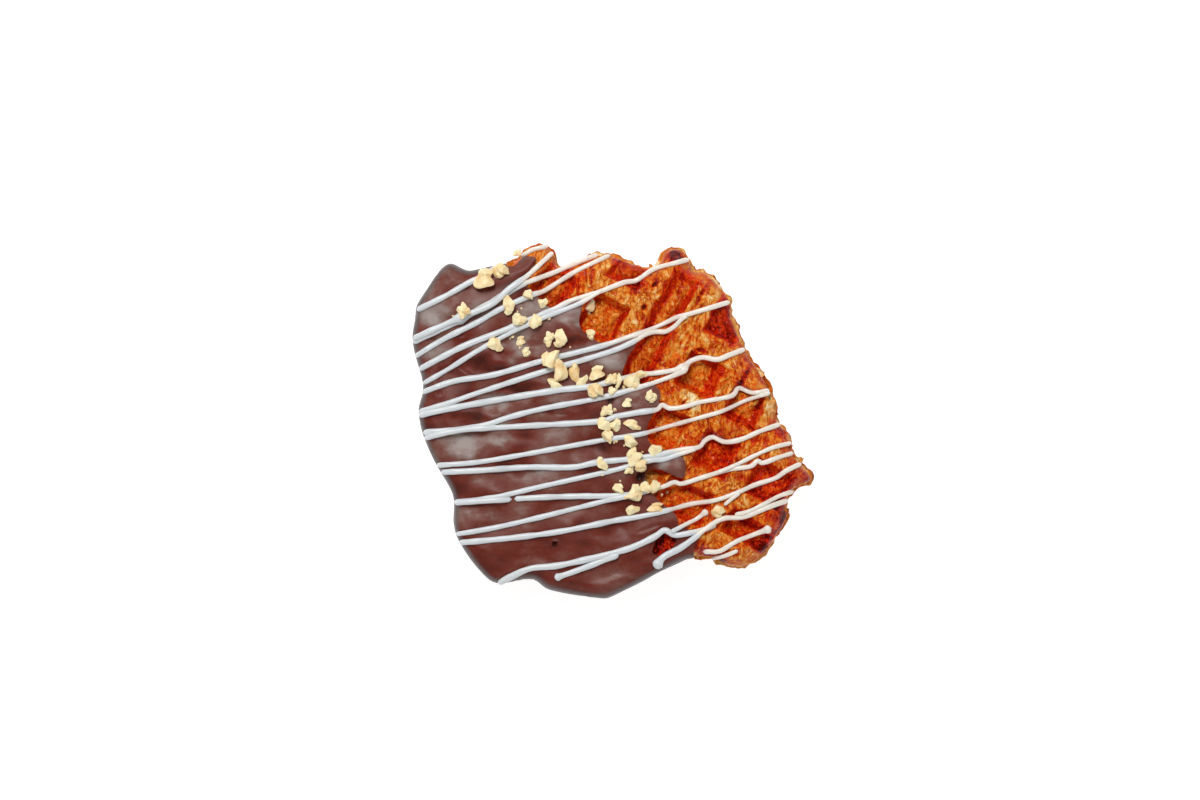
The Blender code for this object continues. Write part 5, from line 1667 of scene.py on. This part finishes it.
@dataclass
class ChoppedNuts:
    """Chopped nuts strewn on the chocolate and across the dip line."""

    relief: Relief
    finish: NutMeat = field(default_factory=NutMeat)
    kinds: int = 9
    crumb_kinds: int = 3
    crumbs: int = 26
    swell: float = 1.03
    lowest: float = 12.5
    thickness: float = 0.66
    uneven: tuple[float, float] = (0.85, 1.1)
    foot: float = 0.36
    sink: float = 0.35
    cracks: tuple[float, float] = (0.42, 0.80)
    steepest: float = 0.8
    long_edge: float = 0.3
    grain: float = 0.3
    graininess: float = 0.05
    joined: float = 0.30
    corner: float = 24.0
    strewn: tuple[float, float] = (0.7, 2.4)
    crumb_size: tuple[float, float] = (0.45, 1.0)
    tilt: float = 0.10

    def lump(self, seed: int, place: tuple[float, float, float], radius: float, planes: int,
             fineness: int) -> Object:
        """Make a lump that cracked along several planes.

        Args:
            seed: Seed of its shape.
            place: Its middle.
            radius: Its greatest radius.
            planes: How many planes it cracked along.
            fineness: How often the first facets are divided.

        Returns:
            The lump, in the scene.
        """
        chance = np.random.default_rng(seed)
        body = bmesh.new()
        bmesh.ops.create_icosphere(body, subdivisions=fineness, radius=radius)
        for _ in range(planes):
            turn, lean = chance.uniform(0, 2 * math.pi), chance.uniform(-self.steepest, self.steepest)
            flat = math.sqrt(1 - lean ** 2)
            normal = np.array([flat * math.cos(turn), flat * math.sin(turn), lean])
            place_on = normal * chance.uniform(*self.cracks) * radius
            parts = body.verts[:] + body.edges[:] + body.faces[:]
            made = bmesh.ops.bisect_plane(body, geom=parts, plane_co=place_on, plane_no=normal,
                                          clear_outer=True)
            rim = [part for part in made["geom_cut"] if isinstance(part, bmesh.types.BMEdge)]
            if rim:
                bmesh.ops.edgeloop_fill(body, edges=rim)
        bmesh.ops.triangulate(body, faces=[face for face in body.faces if len(face.verts) > 4])
        if fineness > 1:
            long_edges = [edge for edge in body.edges if edge.calc_length() > self.long_edge * radius]
            bmesh.ops.subdivide_edges(body, edges=long_edges, cuts=1)
        bmesh.ops.triangulate(body, faces=body.faces[:])
        for vertex in body.verts:
            x, y, z = vertex.co
            rough = Unevenness(seed + 50).at(np.array(x + 2 * z), np.array(y - z), self.grain * radius)
            vertex.co += vertex.co.normalized() * float(rough) * self.graininess * radius + Vector(place)
        bmesh.ops.recalc_face_normals(body, faces=body.faces[:])
        mesh = bpy.data.meshes.new(f"lump_{seed}")
        body.to_mesh(mesh)
        body.free()
        return new_object(mesh.name, mesh)

    def chunk(self, number: int) -> Object:
        """Make one chunk that fills a unit box: two or three lumps that held together."""
        chance = np.random.default_rng(900 + number)
        chunk = self.lump(1000 + number, (0, 0, 0), radius=0.5, planes=10, fineness=3)
        for other in range(1 + number % 2):
            turn = chance.uniform(0, 2 * math.pi)
            place = (self.joined * math.cos(turn), self.joined * math.sin(turn), chance.uniform(-0.1, 0.05))
            smaller = self.lump(1100 + 10 * number + other, place, radius=0.34, planes=8, fineness=2)
            cut(chunk, "UNION", smaller)
        self.fill_unit_box(chunk.data)
        chunk.data.shade_smooth()
        chunk.data.set_sharp_from_angle(angle=math.radians(self.corner))
        return chunk

    def crumb(self, number: int) -> Object:
        """Make one crumb that fills a unit box, of a few facets."""
        crumb = self.lump(1300 + number, (0, 0, 0), radius=0.5, planes=5, fineness=1)
        self.fill_unit_box(crumb.data)
        return crumb

    def fill_unit_box(self, mesh: bpy.types.Mesh) -> None:
        """Scale a mesh to a unit box round the origin."""
        places = np.array([vertex.co[:] for vertex in mesh.vertices])
        middle, span = (places.max(0) + places.min(0)) / 2, np.ptp(places, axis=0)
        mesh.vertices.foreach_set("co", ((places - middle) / span).astype(np.float32).ravel())

    def strewn_crumbs(self, chance: np.random.Generator) -> list[Nut]:
        """Return crumbs that fell round the chunks."""
        crumbs = []
        for _ in range(self.crumbs):
            near = NUTS[chance.integers(len(NUTS) - 3)]
            turn, away = chance.uniform(0, 360), chance.uniform(*self.strewn) + near.width / 2
            x, y = near.x + away * math.cos(turn), near.y + away * math.sin(turn)
            size = chance.uniform(*self.crumb_size)
            if self.relief.at(np.array(x), np.array(y)) > self.lowest:
                crumbs.append(Nut(x, y, size * 1.2, size, turn, chance.uniform(0, 0.2)))
        return crumbs

    def build(self) -> Object:
        """Build the nuts and return them as one piece."""
        shelf = bpy.data.collections.new("chunks")
        made = [self.chunk(number) for number in range(self.kinds)]
        made += [self.crumb(number) for number in range(self.crumb_kinds)]
        for number, chunk in enumerate(made):
            chunk.name = f"chunk_{number:02d}"
            bpy.context.scene.collection.objects.unlink(chunk)
            shelf.objects.link(chunk)
        bpy.context.scene.collection.children.link(shelf)
        chance = np.random.default_rng(77)
        strewn = list(NUTS) + self.strewn_crumbs(chance)
        places, turns, sizes = [], [], []
        for nut in strewn:
            height = self.thickness * nut.width * chance.uniform(*self.uneven)
            reach = self.foot * nut.width
            floor = float(self.relief.highest(np.array(nut.x), np.array(nut.y), reach * 0.7))
            floor = max(floor, self.lowest)
            places.append((nut.x, nut.y, floor - min(self.sink, 0.3 * height) + height / 2))
            turns.append((*chance.normal(0, self.tilt, 2), math.radians(nut.turn)))
            sizes.append((self.swell * nut.length * MM, self.swell * nut.width * MM, height * MM))
            self.relief.raise_to(nut.x, nut.y, reach, floor + height * 0.8, height * 0.3)
        nuts = mesh_object("chopped_nuts", np.array(places), [])
        for name, values in (("turn", turns), ("size", sizes)):
            attribute = nuts.data.attributes.new(name, "FLOAT_VECTOR", "POINT")
            attribute.data.foreach_set("vector", np.array(values, np.float32).ravel())
        store(nuts, "toast", np.array([nut.toast for nut in strewn]))
        kinds = [(k * 5 + 2) % self.kinds for k in range(len(NUTS))]
        kinds += [self.kinds + k % self.crumb_kinds for k in range(len(strewn) - len(NUTS))]
        kind = nuts.data.attributes.new("kind", "INT", "POINT")
        kind.data.foreach_set("value", np.array(kinds, np.int32))
        material = self.finish.material()
        strewing = GrowTree("strewn chunks", {"Chunks": "NodeSocketCollection"}, grow_chunks)
        strewing.run(nuts, {"Chunks": shelf, "Material": material})
        for chunk in list(shelf.objects):
            bpy.data.objects.remove(chunk)
        bpy.data.collections.remove(shelf)
        nuts.data.materials.clear()
        nuts.data.materials.append(material)
        return nuts


@dataclass(frozen=True)
class Lamp:
    """One square soft light: its place and side in metres, and its power in watts."""

    name: str
    place: tuple[float, float, float]
    side: float
    power: float

    def hang(self) -> None:
        """Hang the lamp so that it points at the croffle."""
        data = bpy.data.lights.new(self.name, "AREA")
        data.size, data.energy = self.side, self.power
        lamp = new_object(self.name, data)
        lamp.location = self.place
        lamp.rotation_euler = Vector(self.place).to_track_quat("Z", "Y").to_euler()


LAMPS = (
    Lamp("key", (-0.17, 0.54, 1.03), 0.5, 6.4), Lamp("lamp", (-0.19, 0.5, 1.05), 0.1, 2.2),
    Lamp("window", (-0.3, 1.1, 0.85), 1.0, 3.0), Lamp("front", (0.0, -1.2, 0.5), 1.0, 3.6),
    Lamp("left", (-1.2, 0.0, 0.5), 1.0, 1.8), Lamp("right", (1.2, 0.0, 0.5), 1.0, 1.8),
)


@dataclass
class Studio:
    """Camera, soft lights and a pale table."""

    mm_per_pixel: float = 0.3
    middle_pixel: tuple[float, float] = (612.0, 421.5)
    photo_pixels: tuple[float, float] = (1200.0, 800.0)
    distance: float = 2.0
    sensor: float = 36.0
    sight: float = 10.0
    room_light: float = 0.22
    table_half: float = 1.5
    table_drop: float = 0.0002

    def build(self) -> Object:
        """Set the studio up and return its table."""
        self.camera()
        for lamp in LAMPS:
            lamp.hang()
        scene = bpy.context.scene
        scene.world = bpy.data.worlds.new("room")
        scene.world.use_nodes = True
        light = scene.world.node_tree.nodes["Background"]
        feed(scene.world.node_tree, light, {"Color": linear("#ffffff"), "Strength": self.room_light})
        scene.view_settings.view_transform = "Standard"
        mesh = bpy.data.meshes.new("table")
        corners = [(x * self.table_half, y * self.table_half, -self.table_drop)
                   for x, y in ((-1, -1), (1, -1), (1, 1), (-1, 1))]
        mesh.from_pydata(corners, [], [(0, 1, 2, 3)])
        table = new_object("table", mesh)
        dress(table, TableTop().material())
        return table

    def camera(self) -> None:
        """Hang the camera straight above, so that a photo pixel covers its true size."""
        width, height = self.photo_pixels
        data = bpy.data.cameras.new("camera")
        data.sensor_width = self.sensor
        data.lens = self.distance / MM * self.sensor / (width * self.mm_per_pixel)
        data.clip_end = self.sight
        camera = new_object("camera", data)
        x = (width / 2 - self.middle_pixel[0]) * self.mm_per_pixel
        y = (self.middle_pixel[1] - height / 2) * self.mm_per_pixel
        camera.location = (*to_frame(np.array([x, y, 0.0]))[:2], self.distance)
        bpy.context.scene.camera = camera


def hand_over(piece: Object, replaced: Sequence[Ground] = ()) -> None:
    """Let a finished piece ride on the frame, and report it."""
    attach(piece, BODY)
    for ground in replaced:
        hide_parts(ground.value)
    LOG.info("%s: %d faces", piece.name, len(piece.data.polygons))


def main() -> None:
    """Build the croffle's pieces in the order in which it is made, then the studio."""
    logging.basicConfig(level=logging.INFO, format="%(name)s %(message)s", stream=sys.stdout)
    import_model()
    form = Form()
    crust = Pastry(form).build()
    coat = ChocolateCoat(form).build()
    leaves = LooseLeaves().build()
    relief = Relief()
    relief.scan((crust, coat, leaves))
    hand_over(crust, [Ground.PASTRY])
    hand_over(coat, [Ground.CHOCOLATE])
    hand_over(leaves)
    hand_over(Piping(form, relief).build())
    hand_over(ChoppedNuts(relief).build())
    Studio().build()


if __name__ == "__main__":
    main()
